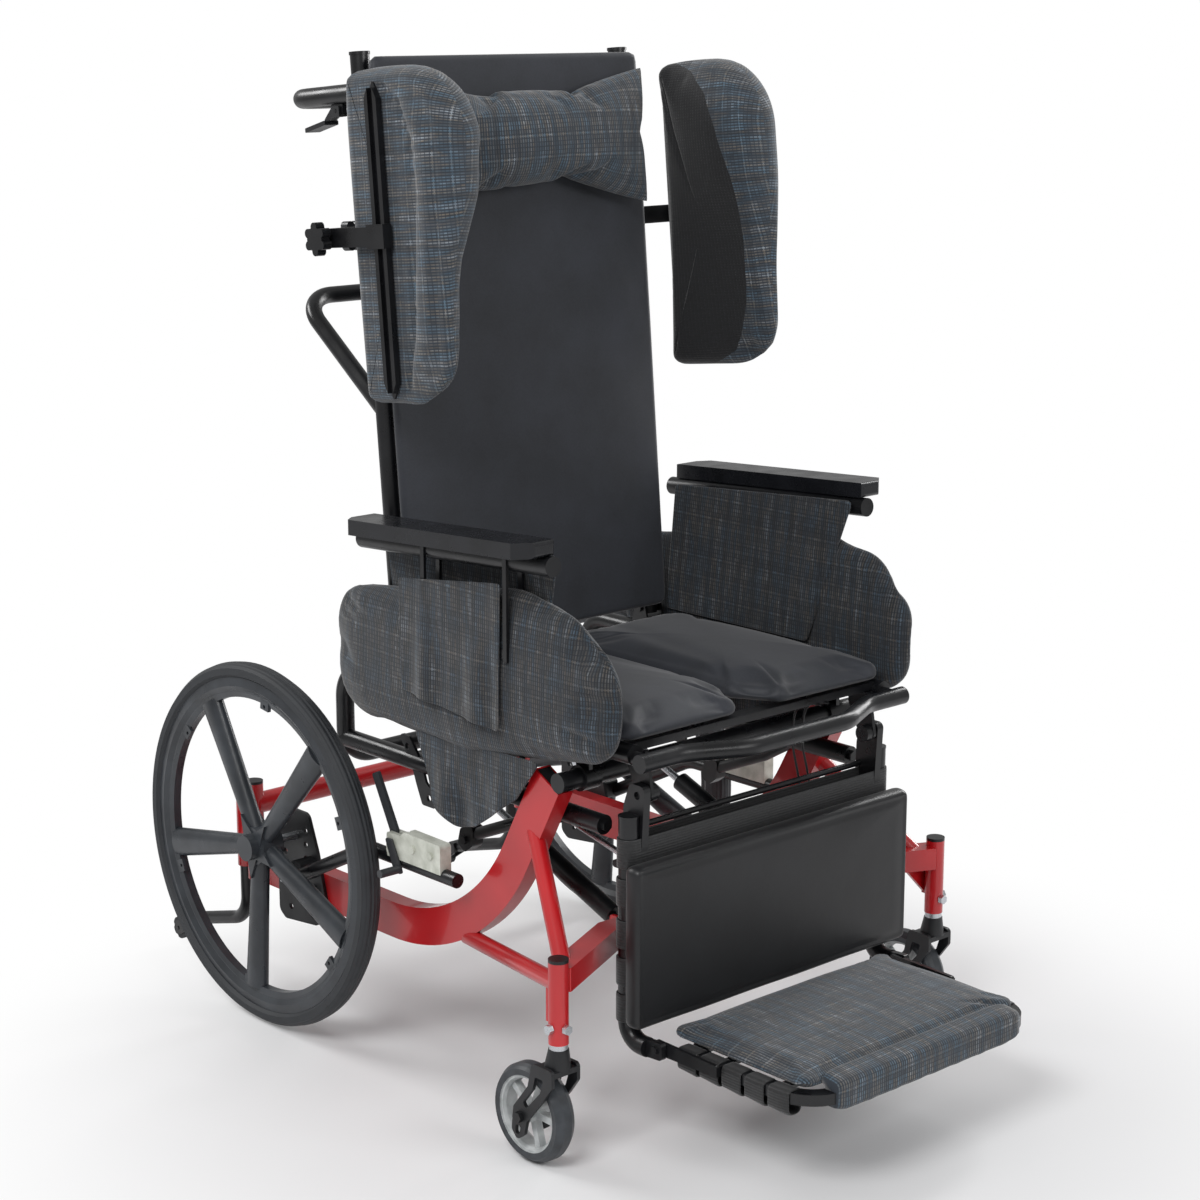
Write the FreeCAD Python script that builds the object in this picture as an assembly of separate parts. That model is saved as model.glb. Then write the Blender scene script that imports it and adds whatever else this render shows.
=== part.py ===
import FreeCAD, Part
import math
import os

# A tilt-in-space wheelchair on a curved side-rail base.
# Millimetres, +Z up, the seated person faces -Y and has +X on the left.
# Sizes are worked out with Y measured from the caster stems; save() then
# moves everything so that the origin lies under the middle of the whole chair.

Vector = FreeCAD.Vector
ALONG_X = Vector(1, 0, 0)
ALONG_Y = Vector(0, 1, 0)
ALONG_Z = Vector(0, 0, 1)

os.makedirs("parts", exist_ok=True)

# Tubes, fits and plates
tube_radius = 12.5
light_tube_radius = 11.0
running_clearance = 0.05
soft_clearance = 0.3
plate_thickness = 5.0
cap_thickness = 4.0

# Base
rail_centre_x = 249.5
rail_width = 25.0
rail_depth = 50.0
rail_wall = 2.5
rail_level_z = 187.0
rail_bend_radius = 288.0
rail_top_y = 112.0
rail_top_z = 449.0
rail_slope_degrees = 61.7
rear_post_y = 757.0
rear_post_top_z = 299.0
rear_post_bottom_z = 158.0
rear_cross_z = 268.0
rear_cross_radius = 15.0
anti_tip_socket_y = 782.0
anti_tip_socket_top_z = 272.0
anti_tip_socket_bottom_z = 172.0
rear_socket_depth = 70.0
pivot_y = 87.0
pivot_z = 453.0
front_cross_y = 68.0
front_cross_bend_x = 200.0
front_cross_end_x = 338.0
front_cross_z = 245.0
front_cross_side = 30.0
stem_x = 342.0
stem_top_z = 268.0
stem_bottom_z = 165.0
caster_stem_radius = 6.0

# Rear wheels
wheel_x = 324.0
wheel_y = 636.0
wheel_radius = 254.0
tyre_width = 31.0
tyre_height = 20.0
rim_depth = 28.0
rim_width = 26.0
spoke_count = 5
hub_radius = 26.0
hub_cap_radius = 18.0
axle_radius = 6.0
lug_count = 6

# Casters
caster_radius = 62.5
caster_trail = 45.0
caster_tyre_width = 30.0
caster_tyre_height = 14.0
caster_spoke_count = 5
fork_gap = 36.0
fork_blade = 5.0

# Anti-tip wheels
anti_tip_y = 950.0
anti_tip_radius = 17.0
anti_tip_z = 32.0
anti_tip_width = 18.0
anti_tip_tube_radius = 9.5

# Wheel locks
lock_x = 294.5
lock_arm_radius = 9.5
lock_pivot_y = 372.0
lock_pivot_z = 316.0
lock_arm_z = 294.0
lock_shoe_y = 352.0
lock_shoe_z = 286.0

# Seat
rail_x = 222.0
seat_z = 500.0
seat_front_y = -4.0
seat_loop_rear_y = 574.0
seat_loop_low_z = 372.0
seat_lower_z = 400.0
seat_lower_front_y = 50.0
cushion_half_width = 234.0
cushion_rear_y = 402.0
cushion_bottom_z = 513.0
cushion_height = 28.0
cushion_crown = 7.0
bow_end_x = 236.0
bow_z = 496.0
bow_end_y = -26.0
bow_front_y = -62.0

# Arms and side bolsters
arm_x = 277.0
arm_front_y = 80.0
arm_front_z = 725.0
arm_rear_y = 452.0
arm_rear_z = 704.0
arm_pad_width = 53.0
arm_pad_height = 20.0
arm_post_ys = (154.0, 313.0)
arm_post_width = 7.0
arm_post_thickness = 4.0
bolster_inner_x = 244.0
bolster_outer_x = 284.0

# Back, in its own upright frame: X across, Y rearward and Z up from the hinge
hinge_y = 444.0
hinge_z = 536.0
back_angle = 5.0
post_height = 780.0
push_bar_height = 733.0
push_bar_reach = 163.0
rear_bar_height = 474.0
rear_bar_reach = 168.0
rear_bar_foot = 325.0
bar_bend = 50.0
back_panel_half_width = 228.0
back_panel_top = 777.0
back_panel_front = -38.0
wing_outer_x = 293.0
wing_rear = -44.0
wing_inner_rear = -24.0
wing_inner_rear_x = 238.0
wing_bottom = 342.0
wing_top = 758.0
wing_rail_y = -118.0
wing_rail_width = 24.0
wing_rail_depth = 8.0
clamp_height = 553.0
collar_radius = tube_radius + 7
collar_height = 30.0

# Leg rest and foot plate
leg_pivot_y = 0.0
leg_pivot_z = 447.0
hanger_x = 223.0
hanger_y = 6.0
hanger_top_z = 420.0
hanger_foot_z = 135.0
hanger_end_y = -30.0
pin_radius = 5.0
calf_half_width = 245.0
calf_bottom_z = 160.0
calf_top_z = 368.0
calf_front_y = -34.0
foot_hinge_y = -46.0
foot_hinge_z = 137.0
foot_half_width = 208.0
foot_front_y = -290.0
foot_bar_width = 18.0
foot_bar_height = 14.0
foot_loop_count = 5
foot_loop_start_y = -252.0
foot_loop_width = 32.0
foot_loop_pitch = 38.0
foot_slat_ys = (-120.0, -215.0)

# Gas springs, drawn between their two eyes
tilt_spring_x = 150.0
tilt_base_eye = Vector(tilt_spring_x, 100.0, 245.0)
tilt_seat_eye = Vector(tilt_spring_x, 430.0, 372.0)
leg_spring_x = -192.0
leg_rear_eye = Vector(leg_spring_x, 380.0, 430.0)
leg_front_eye = Vector(leg_spring_x, 36.0, 351.5)

# Release cables
cable_radius = 1.6

# The chair's middle between the foot plate's front and the anti-tip wheels
foot_roll_front_y = foot_front_y - 5.0
middle_y = (foot_roll_front_y + anti_tip_y + anti_tip_radius) / 2


# General shapes
def block(x0, x1, y0, y1, z0, z1):
    return Part.makeBox(x1 - x0, y1 - y0, z1 - z0, Vector(x0, y0, z0))


def rod(start, direction, radius, length):
    return Part.makeCylinder(radius, length, start, direction)


def rod_between(start, end, radius):
    return rod(start, end - start, radius, (end - start).Length)


def ring(start, direction, outer, inner, length):
    return rod(start, direction, outer, length).cut(rod(start, direction, inner, length))


def corner_arc(before, corner, after, radius):
    # Tangent points and middle point of the arc that rounds a corner
    u = (before - corner).normalize()
    w = (after - corner).normalize()
    turn = math.pi - u.getAngle(w)
    reach = radius * math.tan(turn / 2)
    bisector = (u + w).normalize()
    middle = corner + bisector * (radius / math.cos(turn / 2) - radius)
    return corner + u * reach, middle, corner + w * reach


def rounded_outline(corners):
    # A closed wire through (point, radius) pairs, with a tangent arc at each corner
    count = len(corners)
    arcs = []
    for i in range(count):
        before = corners[i - 1][0]
        after = corners[(i + 1) % count][0]
        arcs.append(corner_arc(before, corners[i][0], after, corners[i][1]))
    edges = []
    for i in range(count):
        start, middle, end = arcs[i]
        edges.append(Part.Arc(start, middle, end).toShape())
        edges.append(Part.LineSegment(end, arcs[(i + 1) % count][0]).toShape())
    return Part.Wire(edges)


def route(points, bend):
    # Straight runs joined by tangent arcs
    edges = []
    start = points[0]
    for i in range(1, len(points) - 1):
        arc_start, middle, arc_end = corner_arc(points[i - 1], points[i], points[i + 1], bend)
        edges.append(Part.LineSegment(start, arc_start).toShape())
        edges.append(Part.Arc(arc_start, middle, arc_end).toShape())
        start = arc_end
    edges.append(Part.LineSegment(start, points[-1]).toShape())
    return Part.Wire(edges)


def tube(points, radius, bend):
    circle = Part.Circle(points[0], points[1] - points[0], radius).toShape()
    return route(points, bend).makePipeShell([Part.Wire([circle])], True, False)


def side_plate(outline, corner_radius, x0, x1):
    # A plate across X from an outline of (y, z) points
    corners = [(Vector(x0, y, z), corner_radius) for y, z in outline]
    return Part.Face(rounded_outline(corners)).extrude(Vector(x1 - x0, 0, 0))


def level_plate(outline, corner_radius, z0, z1):
    corners = [(Vector(x, y, z0), corner_radius) for x, y in outline]
    return Part.Face(rounded_outline(corners)).extrude(Vector(0, 0, z1 - z0))


def turned(profile, centre, axis):
    # A ring turned about an X or Z axis from a profile of (radius, offset) points
    radial = ALONG_Z if axis == ALONG_X else ALONG_X
    points = [centre + radial * r + axis * offset for r, offset in profile]
    face = Part.Face(Part.makePolygon(points + [points[0]]))
    return face.revolve(centre, axis, 360)


def hexagon_head(start, direction, across, height):
    head = rod(Vector(0, 0, 0), ALONG_Z, across / math.sqrt(3), height)
    for i in range(6):
        cutter = block(across / 2, across, -across, across, -1, height + 1)
        cutter.rotate(Vector(0, 0, 0), ALONG_Z, 60 * i)
        head = head.cut(cutter)
    head.Placement = FreeCAD.Placement(start, FreeCAD.Rotation(ALONG_Z, direction))
    return head


def bolt(start, direction, radius, length, across=12.0, height=6.0):
    head = hexagon_head(start, direction * -1, across, height)
    return head.fuse(rod(start, direction, radius, length))


def mirrored(shape):
    return shape.mirror(Vector(0, 0, 0), ALONG_X)


def on_side(shape, side):
    return shape if side == "l" else mirrored(shape)


def both_sides(shape):
    return [shape, mirrored(shape)]


def fused(shapes):
    return shapes[0].multiFuse(shapes[1:]).removeSplitter()


def on_back(shape):
    # From the back's own upright frame to the leaning back on its hinge
    placed = shape.copy()
    placed.rotate(Vector(0, 0, 0), ALONG_X, -back_angle)
    placed.translate(Vector(0, hinge_y, hinge_z))
    return placed


def save(name, shapes):
    solids = []
    for shape in shapes:
        solids += shape.Solids
    group = Part.makeCompound(solids) if len(solids) > 1 else solids[0]
    group.translate(Vector(0, -middle_y, 0))
    group.exportStep(f"parts/{name}.step")
    volume = sum(solid.Volume for solid in solids) / 1000
    print(f"{name}: {len(solids)} solids, {volume:.1f} cm3, valid {group.isValid()}")


# Base
rail_slope = math.radians(rail_slope_degrees)
rail_down = Vector(0, math.cos(rail_slope), -math.sin(rail_slope))
rail_forward = Vector(0, -math.sin(rail_slope), -math.cos(rail_slope))
rail_top = Vector(0, rail_top_y, rail_top_z)
rail_drop_length = (rail_top_z - rail_level_z) / math.sin(rail_slope)
rail_corner = rail_top + rail_down * rail_drop_length
rail_end_y = rear_post_y - tube_radius / 2
pivot_centre = Vector(0, pivot_y, pivot_z)


def rail_band(inset, x0, x1):
    # The rail's side outline, set in from its edges, pulled across X
    half = rail_depth / 2 - inset
    half_turn = math.tan(rail_slope / 2)
    outer_corner = rail_corner + rail_forward * half + rail_down * (half * half_turn)
    inner_corner = rail_corner - rail_forward * half - rail_down * (half * half_turn)
    top_front = rail_top + rail_forward * half
    top_rear = rail_top - rail_forward * half
    end_low = Vector(0, rail_end_y, rail_level_z - half)
    end_high = Vector(0, rail_end_y, rail_level_z + half)
    low = corner_arc(top_front, outer_corner, end_low, rail_bend_radius + half)
    high = corner_arc(end_high, inner_corner, top_rear, rail_bend_radius - half)
    edges = [
        Part.LineSegment(top_front, low[0]).toShape(),
        Part.Arc(low[0], low[1], low[2]).toShape(),
        Part.LineSegment(low[2], end_low).toShape(),
        Part.LineSegment(end_low, end_high).toShape(),
        Part.LineSegment(end_high, high[0]).toShape(),
        Part.Arc(high[0], high[1], high[2]).toShape(),
        Part.LineSegment(high[2], top_rear).toShape(),
        Part.LineSegment(top_rear, top_front).toShape(),
    ]
    face = Part.Face(Part.Wire(edges))
    face.translate(Vector(x0, 0, 0))
    return face.extrude(Vector(x1 - x0, 0, 0))


def pivot_tube():
    half = rail_centre_x + rail_width / 2
    return rod(Vector(-half, pivot_y, pivot_z), ALONG_X, tube_radius, 2 * half)


def rear_post():
    start = Vector(rail_centre_x, rear_post_y, rear_post_bottom_z)
    return rod(start, ALONG_Z, tube_radius, rear_post_top_z - rear_post_bottom_z)


def rail_envelope():
    x0 = rail_centre_x - rail_width / 2
    return rail_band(0, x0, x0 + rail_width).cut(pivot_tube()).cut(rear_post())


def side_rail():
    # A rectangular tube: straight down from the pivot, round the bend and level to the rear post
    x0 = rail_centre_x - rail_width / 2
    hollow = rail_band(rail_wall, x0 + rail_wall, x0 + rail_width - rail_wall)
    rail = rail_envelope().cut(hollow)
    for y in axle_plate_bolts:
        across = Vector(x0, y, rail_level_z)
        rail = rail.cut(rod(across, ALONG_X, plate_bolt_radius + running_clearance, rail_width))
    return rail


plate_bolt_radius = 4.0
axle_plate_bolts = (596.0, 662.0)
anti_tip_socket_radius = anti_tip_tube_radius + running_clearance


def rear_frame():
    # Two upright posts, the round tube between them and the sockets of the anti-tip tubes
    cross = rod(
        Vector(-rail_centre_x, rear_post_y, rear_cross_z), ALONG_X, rear_cross_radius, 2 * rail_centre_x
    )
    socket_start = Vector(rail_centre_x, anti_tip_socket_y, anti_tip_socket_bottom_z)
    socket = rod(socket_start, ALONG_Z, tube_radius, anti_tip_socket_top_z - anti_tip_socket_bottom_z)
    frame = fused(both_sides(rear_post()) + both_sides(socket) + [cross])
    for side in (-1, 1):
        foot = Vector(side * rail_centre_x, anti_tip_socket_y, anti_tip_socket_bottom_z)
        frame = frame.cut(rod(foot, ALONG_Z, anti_tip_socket_radius, rear_socket_depth))
    return frame


def housing_body():
    start = Vector(stem_x, 0, stem_bottom_z)
    return rod(start, ALONG_Z, tube_radius, stem_top_z - stem_bottom_z)


caster_bore_top_z = stem_top_z - 12.0


def stem_housing():
    # The caster housing, its bore and the gusset plate under the front cross tube
    top_z = front_cross_z - front_cross_side / 2
    corners = [
        Vector(stem_x, gusset_y, gusset_low_z),
        Vector(stem_x, gusset_y, top_z),
        Vector(gusset_inner_x, gusset_y, top_z),
        Vector(stem_x, gusset_y, gusset_low_z),
    ]
    gusset = Part.Face(Part.makePolygon(corners)).extrude(Vector(0, plate_thickness, 0))
    half = plate_thickness / 2
    web = block(stem_x - half, stem_x + half, 0, gusset_y + plate_thickness, gusset_low_z, top_z)
    body = fused([housing_body(), gusset, web])
    bore_start = Vector(stem_x, 0, stem_bottom_z)
    bore_depth = caster_bore_top_z - stem_bottom_z
    return body.cut(rod(bore_start, ALONG_Z, caster_stem_radius + running_clearance, bore_depth))


gusset_low_z = 188.0
gusset_inner_x = 300.0
upright_start_z = 380.0
upright_foot_x = 322.0
upright_foot_y = 12.0
gusset_y = 15.0
brace_start = Vector(rail_centre_x, 282.0, 200.0)
brace_end_z = 240.0


def front_cross_tube():
    # A square tube that runs back and inward from both caster housings, clear of the leg rest
    half = front_cross_side / 2
    outline = [
        (-front_cross_end_x + 6, -11),
        (-front_cross_bend_x + 3, front_cross_y - half),
        (front_cross_bend_x - 3, front_cross_y - half),
        (front_cross_end_x - 6, -11),
        (front_cross_end_x + 6, 16),
        (front_cross_bend_x + 3, front_cross_y + half),
        (-front_cross_bend_x - 3, front_cross_y + half),
        (-front_cross_end_x - 6, 16),
    ]
    bar = level_plate(outline, 1.5, front_cross_z - half, front_cross_z + half)
    for housing in both_sides(housing_body()):
        bar = bar.cut(housing)
    return largest(bar)


def spring_bracket():
    # The ear behind the cross tube that carries one tilt spring's lower eye
    eye = tilt_base_eye
    rear = front_cross_y + front_cross_side / 2
    outline = [(rear - 6, eye.z - 9), (eye.y + 9, eye.z - 9), (eye.y + 9, eye.z + 9), (rear - 6, eye.z + 9)]
    return side_plate(outline, 4, tilt_spring_x + 5.5, tilt_spring_x + 9.5)


def upright():
    # From the front face of the curved rail down to the cross tube behind the caster stem
    along = (rail_top_z - upright_start_z) / math.sin(rail_slope)
    start = rail_top + rail_down * along
    start.x = rail_centre_x
    foot = Vector(upright_foot_x, upright_foot_y, front_cross_z)
    bar = rod_between(start, foot, light_tube_radius)
    return bar.cut(rail_envelope()).cut(front_cross_tube())


def brace():
    # From the underside of the rail's bend out to the caster housing
    end = Vector(stem_x, 0, brace_end_z)
    bar = rod_between(brace_start, end, light_tube_radius)
    return bar.cut(rail_envelope()).cut(housing_body()).cut(front_cross_tube()).cut(upright_envelope())


def upright_envelope():
    along = (rail_top_z - upright_start_z) / math.sin(rail_slope)
    start = rail_top + rail_down * along
    start.x = rail_centre_x
    return rod_between(start, Vector(upright_foot_x, upright_foot_y, front_cross_z), light_tube_radius)


def largest(shape):
    return max(shape.Solids, key=lambda solid: solid.Volume)


def base_caps():
    # Plastic plugs on the posts, the caster housings, the rail tops and the pivot tube
    post_cap = rod(Vector(rail_centre_x, rear_post_y, rear_post_top_z), ALONG_Z, tube_radius, cap_thickness)
    stem_cap = rod(Vector(stem_x, 0, stem_top_z), ALONG_Z, tube_radius, cap_thickness)
    pivot_end = rail_centre_x + rail_width / 2
    pivot_cap = rod(Vector(pivot_end, pivot_y, pivot_z), ALONG_X, tube_radius, cap_thickness)
    inset = rail_wall + running_clearance
    plug = rail_band(inset, rail_centre_x - rail_width / 2 + inset, rail_centre_x + rail_width / 2 - inset)
    keep = rod(rail_top + ALONG_X * (rail_centre_x - 30), ALONG_X, rail_depth * 0.6, 60)
    depth_cut = block(200, 300, -60, 60, -200, 0)
    depth_cut.rotate(Vector(0, 0, 0), ALONG_X, 90 - rail_slope_degrees)
    depth_cut.translate(rail_top + rail_down * cap_thickness)
    plug = plug.common(keep).cut(depth_cut).cut(pivot_tube())
    caps = []
    for cap in (post_cap, stem_cap, pivot_cap, largest(plug)):
        caps += both_sides(cap)
    return caps


bearing_sleeve_height = 6.7


def base_hardware():
    # Housing bolts, plate bolts, rear axles and the caster bearing sleeves
    pieces = []
    front = Vector(stem_x, -tube_radius, 186.0)
    outer = Vector(stem_x + tube_radius, 0, 186.0)
    pieces.append(hexagon_head(front, ALONG_Y * -1, 11.0, 6.0))
    pieces.append(hexagon_head(outer, ALONG_X, 11.0, 6.0))
    sleeve_start = Vector(stem_x, 0, stem_bottom_z - bearing_sleeve_height)
    sleeve_bore = caster_stem_radius + running_clearance
    pieces.append(ring(sleeve_start, ALONG_Z, tube_radius - 1, sleeve_bore, bearing_sleeve_height))
    for y in axle_plate_bolts:
        outer_face = Vector(axle_plate_x + plate_thickness, y, rail_level_z)
        pieces.append(bolt(outer_face, ALONG_X * -1, plate_bolt_radius, rail_width + plate_thickness))
    axle_start = Vector(axle_plate_x, wheel_y, wheel_radius)
    axle = rod(axle_start, ALONG_X, axle_radius, axle_length)
    pieces.append(axle.fuse(hexagon_head(axle_start, ALONG_X * -1, 17.0, 8.0)))
    group = []
    for piece in pieces:
        group += both_sides(piece)
    return group


axle_plate_x = rail_centre_x + rail_width / 2
axle_length = wheel_x + 14.0 - axle_plate_x
axle_hole_radius = axle_radius + running_clearance
small_plate_hole = 4.5


def axle_plate():
    # Rows of holes let the axle and the wheel lock be set at other heights
    outline = [(606, 292), (658, 292), (678, 250), (678, 136), (664, 126), (590, 134), (564, 158), (586, 240)]
    plate = side_plate(outline, 12, axle_plate_x, axle_plate_x + plate_thickness)
    hole = Vector(axle_plate_x, wheel_y, wheel_radius)
    plate = plate.cut(rod(hole, ALONG_X, axle_hole_radius, plate_thickness))
    for y in axle_plate_bolts:
        hole = Vector(axle_plate_x, y, rail_level_z)
        plate = plate.cut(rod(hole, ALONG_X, plate_bolt_radius + running_clearance, plate_thickness))
    for row in range(3):
        for y in (612.0, 660.0):
            hole = Vector(axle_plate_x, y, 226.0 + 20.0 * row)
            plate = plate.cut(rod(hole, ALONG_X, small_plate_hole, plate_thickness))
    for y in (600.0, 650.0):
        hole = Vector(axle_plate_x, y, 147.0)
        plate = plate.cut(rod(hole, ALONG_X, small_plate_hole, plate_thickness))
    return plate


def lock_arm():
    # A bent tube from the axle plate forward along the tyre; the wheel lock is clamped on it
    points = [
        Vector(lock_x, 600, 208),
        Vector(lock_x, 430, lock_arm_z),
        Vector(lock_x, 246, lock_arm_z),
    ]
    arm = tube(points, lock_arm_radius, 60)
    foot = side_plate([(586, 204), (608, 204), (608, 232), (586, 232)], 5, axle_plate_x + plate_thickness, lock_x)
    return fused([arm, foot])


def anti_tip_tube():
    start = Vector(rail_centre_x, anti_tip_socket_y, anti_tip_socket_bottom_z + rear_socket_depth)
    corner = Vector(rail_centre_x, anti_tip_socket_y, 92)
    end = Vector(rail_centre_x, anti_tip_y - anti_tip_radius - 16, 54)
    arm = tube([start, corner, end], anti_tip_tube_radius, 44)
    half = anti_tip_width / 2 + 1
    fork_outline = [
        (end.y - 6, end.z - 9),
        (end.y - 6, end.z + 9),
        (anti_tip_y + 7, anti_tip_z + 9),
        (anti_tip_y + 7, anti_tip_z - 9),
        (anti_tip_y - 8, anti_tip_z - 8),
    ]
    left = side_plate(fork_outline, 5, rail_centre_x - half - 3, rail_centre_x - half)
    right = side_plate(fork_outline, 5, rail_centre_x + half, rail_centre_x + half + 3)
    bridge = block(
        rail_centre_x - half - 3, rail_centre_x + half + 3, end.y - 5, end.y + 6, end.z - 8, end.z + 8
    )
    pin = rod(Vector(rail_centre_x - half - 4, anti_tip_y, anti_tip_z), ALONG_X, 3, 2 * half + 8)
    return fused([arm, left, right, bridge, pin])


# Wheels
def rear_tyre():
    r = wheel_radius
    inner = r - tyre_height
    half = tyre_width / 2
    profile = [
        (inner, -half + 5),
        (inner + 4, -half),
        (r - 7, -half),
        (r - 1.5, -half + 7),
        (r, 0),
        (r - 1.5, half - 7),
        (r - 7, half),
        (inner + 4, half),
        (inner, half - 5),
    ]
    return turned(profile, Vector(wheel_x, wheel_y, wheel_radius), ALONG_X)


def rim_ring():
    outer = wheel_radius - tyre_height
    inner = outer - rim_depth
    half = rim_width / 2
    profile = [
        (inner, -6),
        (inner, 6),
        (inner + 7, 8),
        (inner + 9, half - 5),
        (inner + 16, half),
        (outer + 0, half - 2),
        (outer + 0, -half + 2),
        (inner + 16, -half),
        (inner + 9, -half + 5),
        (inner + 7, -8),
    ]
    return turned(profile, Vector(wheel_x, wheel_y, wheel_radius), ALONG_X)


def spoke(angle):
    # A hollow-looking round spoke that widens from the hub to the rim
    near = hub_radius - 8
    far = wheel_radius - tyre_height - rim_depth + 4
    sections = []
    for reach, wide, deep in ((near, 13, 12), (far, 21, 12)):
        ellipse = Part.Ellipse(Vector(0, 0, 0), wide, deep)
        wire = Part.Wire([ellipse.toShape()])
        wire.Placement = FreeCAD.Placement(
            Vector(wheel_x, wheel_y, wheel_radius + reach), FreeCAD.Rotation(ALONG_Z, 90)
        )
        sections.append(wire)
    shape = Part.makeLoft(sections, True, True)
    shape.rotate(Vector(wheel_x, wheel_y, wheel_radius), ALONG_X, angle)
    return shape


def hub_star():
    # Five pointed ribs run out over the spoke roots
    edges = []
    points = []
    for i in range(2 * spoke_count):
        reach = 47 if i % 2 == 0 else 19
        angle = math.pi * i / spoke_count
        y = wheel_y - reach * math.sin(angle)
        z = wheel_radius + reach * math.cos(angle)
        points.append(Vector(wheel_x - 14, y, z))
    points.append(points[0])
    for a, b in zip(points, points[1:]):
        edges.append(Part.LineSegment(a, b).toShape())
    return Part.Face(Part.Wire(edges)).extrude(Vector(30, 0, 0))


spoke_start_angle = 30.7
cap_outer_x = 352.0


def rear_wheel():
    centre = Vector(wheel_x, wheel_y, wheel_radius)
    hub = rod(centre - ALONG_X * 20, ALONG_X, hub_radius, 34)
    cap = rod(centre, ALONG_X, hub_cap_radius, cap_outer_x - wheel_x)
    star = hub_star()
    star.rotate(centre, ALONG_X, -spoke_start_angle)
    spokes = [spoke(360 / spoke_count * i - spoke_start_angle) for i in range(spoke_count)]
    lugs = [hand_rim_lug(360 / lug_count * i + 8) for i in range(lug_count)]
    wheel = fused([rim_ring(), hub, cap, star] + spokes + lugs)
    bore = rod(centre - ALONG_X * 60, ALONG_X, axle_hole_radius, 60 + axle_bore_end - wheel_x)
    return wheel.cut(bore)


axle_bore_end = axle_plate_x + axle_length + 1.0


def hand_rim_lug(angle):
    centre = Vector(wheel_x, wheel_y, wheel_radius)
    inner = wheel_radius - tyre_height - rim_depth
    lug = block(wheel_x + 3, wheel_x + 8, wheel_y - 9, wheel_y + 9, wheel_radius + inner - 7, wheel_radius + inner + 6)
    hole = rod(Vector(wheel_x + 3, wheel_y, wheel_radius + inner - 2), ALONG_X, 2.5, 5)
    lug = lug.cut(hole)
    lug.rotate(centre, ALONG_X, angle)
    return lug


caster_centre = Vector(stem_x, caster_trail, caster_radius)


def caster_rim():
    outer = caster_radius - caster_tyre_height
    profile = [
        (outer - 5, -8),
        (outer - 5, 8),
        (outer - 3, 12),
        (outer, 12),
        (outer, -12),
        (outer - 3, -12),
    ]
    ring_part = turned(profile, caster_centre, ALONG_X)
    hub = rod(caster_centre - ALONG_X * 15, ALONG_X, 11, 30)
    spokes = []
    for i in range(caster_spoke_count):
        bar = block(stem_x - 5, stem_x + 5, caster_trail - 4.5, caster_trail + 4.5, caster_radius + 8, caster_radius + outer - 4)
        bar.rotate(caster_centre, ALONG_X, 360 / caster_spoke_count * i + 20)
        spokes.append(bar)
    rim = fused([ring_part, hub] + spokes)
    return rim.cut(rod(caster_centre - ALONG_X * 20, ALONG_X, caster_pin_radius + running_clearance, 40))


caster_pin_radius = 4.0


def caster_tyre():
    inner = caster_radius - caster_tyre_height
    half = caster_tyre_width / 2
    profile = [
        (inner, -half + 1),
        (inner + 8, -half),
        (caster_radius - 3, -half + 4),
        (caster_radius, -half + 9),
        (caster_radius, half - 9),
        (caster_radius - 3, half - 4),
        (inner + 8, half),
        (inner, half - 1),
    ]
    return turned(profile, caster_centre, ALONG_X)


def fork_blade_plate(x0, x1):
    # Openwork blade: a long slot above the axle and small holes for other axle heights
    outline = [(-13, 138), (23, 138), (31, 106), (58, 72), (61, 42), (51, 30), (38, 40), (33, 60), (2, 96), (-13, 116)]
    blade = side_plate(outline, 6, x0, x1)
    slot = side_plate([(2, 122), (17, 122), (22, 104), (40, 82), (34, 76), (8, 104)], 3, x0, x1)
    low = side_plate([(44, 50), (54, 50), (54, 38), (47, 38)], 3, x0, x1)
    blade = blade.cut(slot).cut(low)
    pin_hole = rod(Vector(x0, caster_trail, caster_radius), ALONG_X, caster_pin_radius, x1 - x0)
    return blade.cut(pin_hole)


def caster_fork():
    # Stem, tapered crown and two blades
    stem = rod(Vector(stem_x, 0, 150), ALONG_Z, caster_stem_radius, caster_bore_top_z - 2 - 150)
    top = Part.Wire([Part.Circle(Vector(stem_x, 0, crown_top_z), ALONG_Z, tube_radius).toShape()])
    half = fork_gap / 2 + fork_blade
    crown_base = level_plate(
        [(stem_x - half, -13), (stem_x + half, -13), (stem_x + half, 23), (stem_x - half, 23)], 6, 127, 134
    )
    cone = Part.makeLoft(
        [top, Part.Wire([Part.Circle(Vector(stem_x, 2, 132), ALONG_Z, 17).toShape()])], True, True
    )
    left = fork_blade_plate(stem_x - half, stem_x - fork_gap / 2)
    right = fork_blade_plate(stem_x + fork_gap / 2, stem_x + half)
    fork = fused([stem, cone, crown_base, left, right])
    pin_start = Vector(stem_x - half, caster_trail, caster_radius)
    pin = bolt(pin_start, ALONG_X, caster_pin_radius, 2 * half, 12, 5)
    pin = pin.fuse(hexagon_head(pin_start + ALONG_X * (2 * half), ALONG_X, 12, 6))
    return [fork, pin]


crown_top_z = stem_bottom_z - bearing_sleeve_height - 0.3


def anti_tip_wheel():
    centre = Vector(rail_centre_x, anti_tip_y, anti_tip_z)
    wheel = rod(centre - ALONG_X * (anti_tip_width / 2), ALONG_X, anti_tip_radius, anti_tip_width)
    for i in range(6):
        angle = math.radians(60 * i)
        notch = Vector(0, math.cos(angle), math.sin(angle)) * (anti_tip_radius + 3)
        wheel = wheel.cut(rod(centre + notch - ALONG_X * 10, ALONG_X, 5, 20))
    return wheel.cut(rod(centre - ALONG_X * 12, ALONG_X, 3 + running_clearance, 24))


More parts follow.
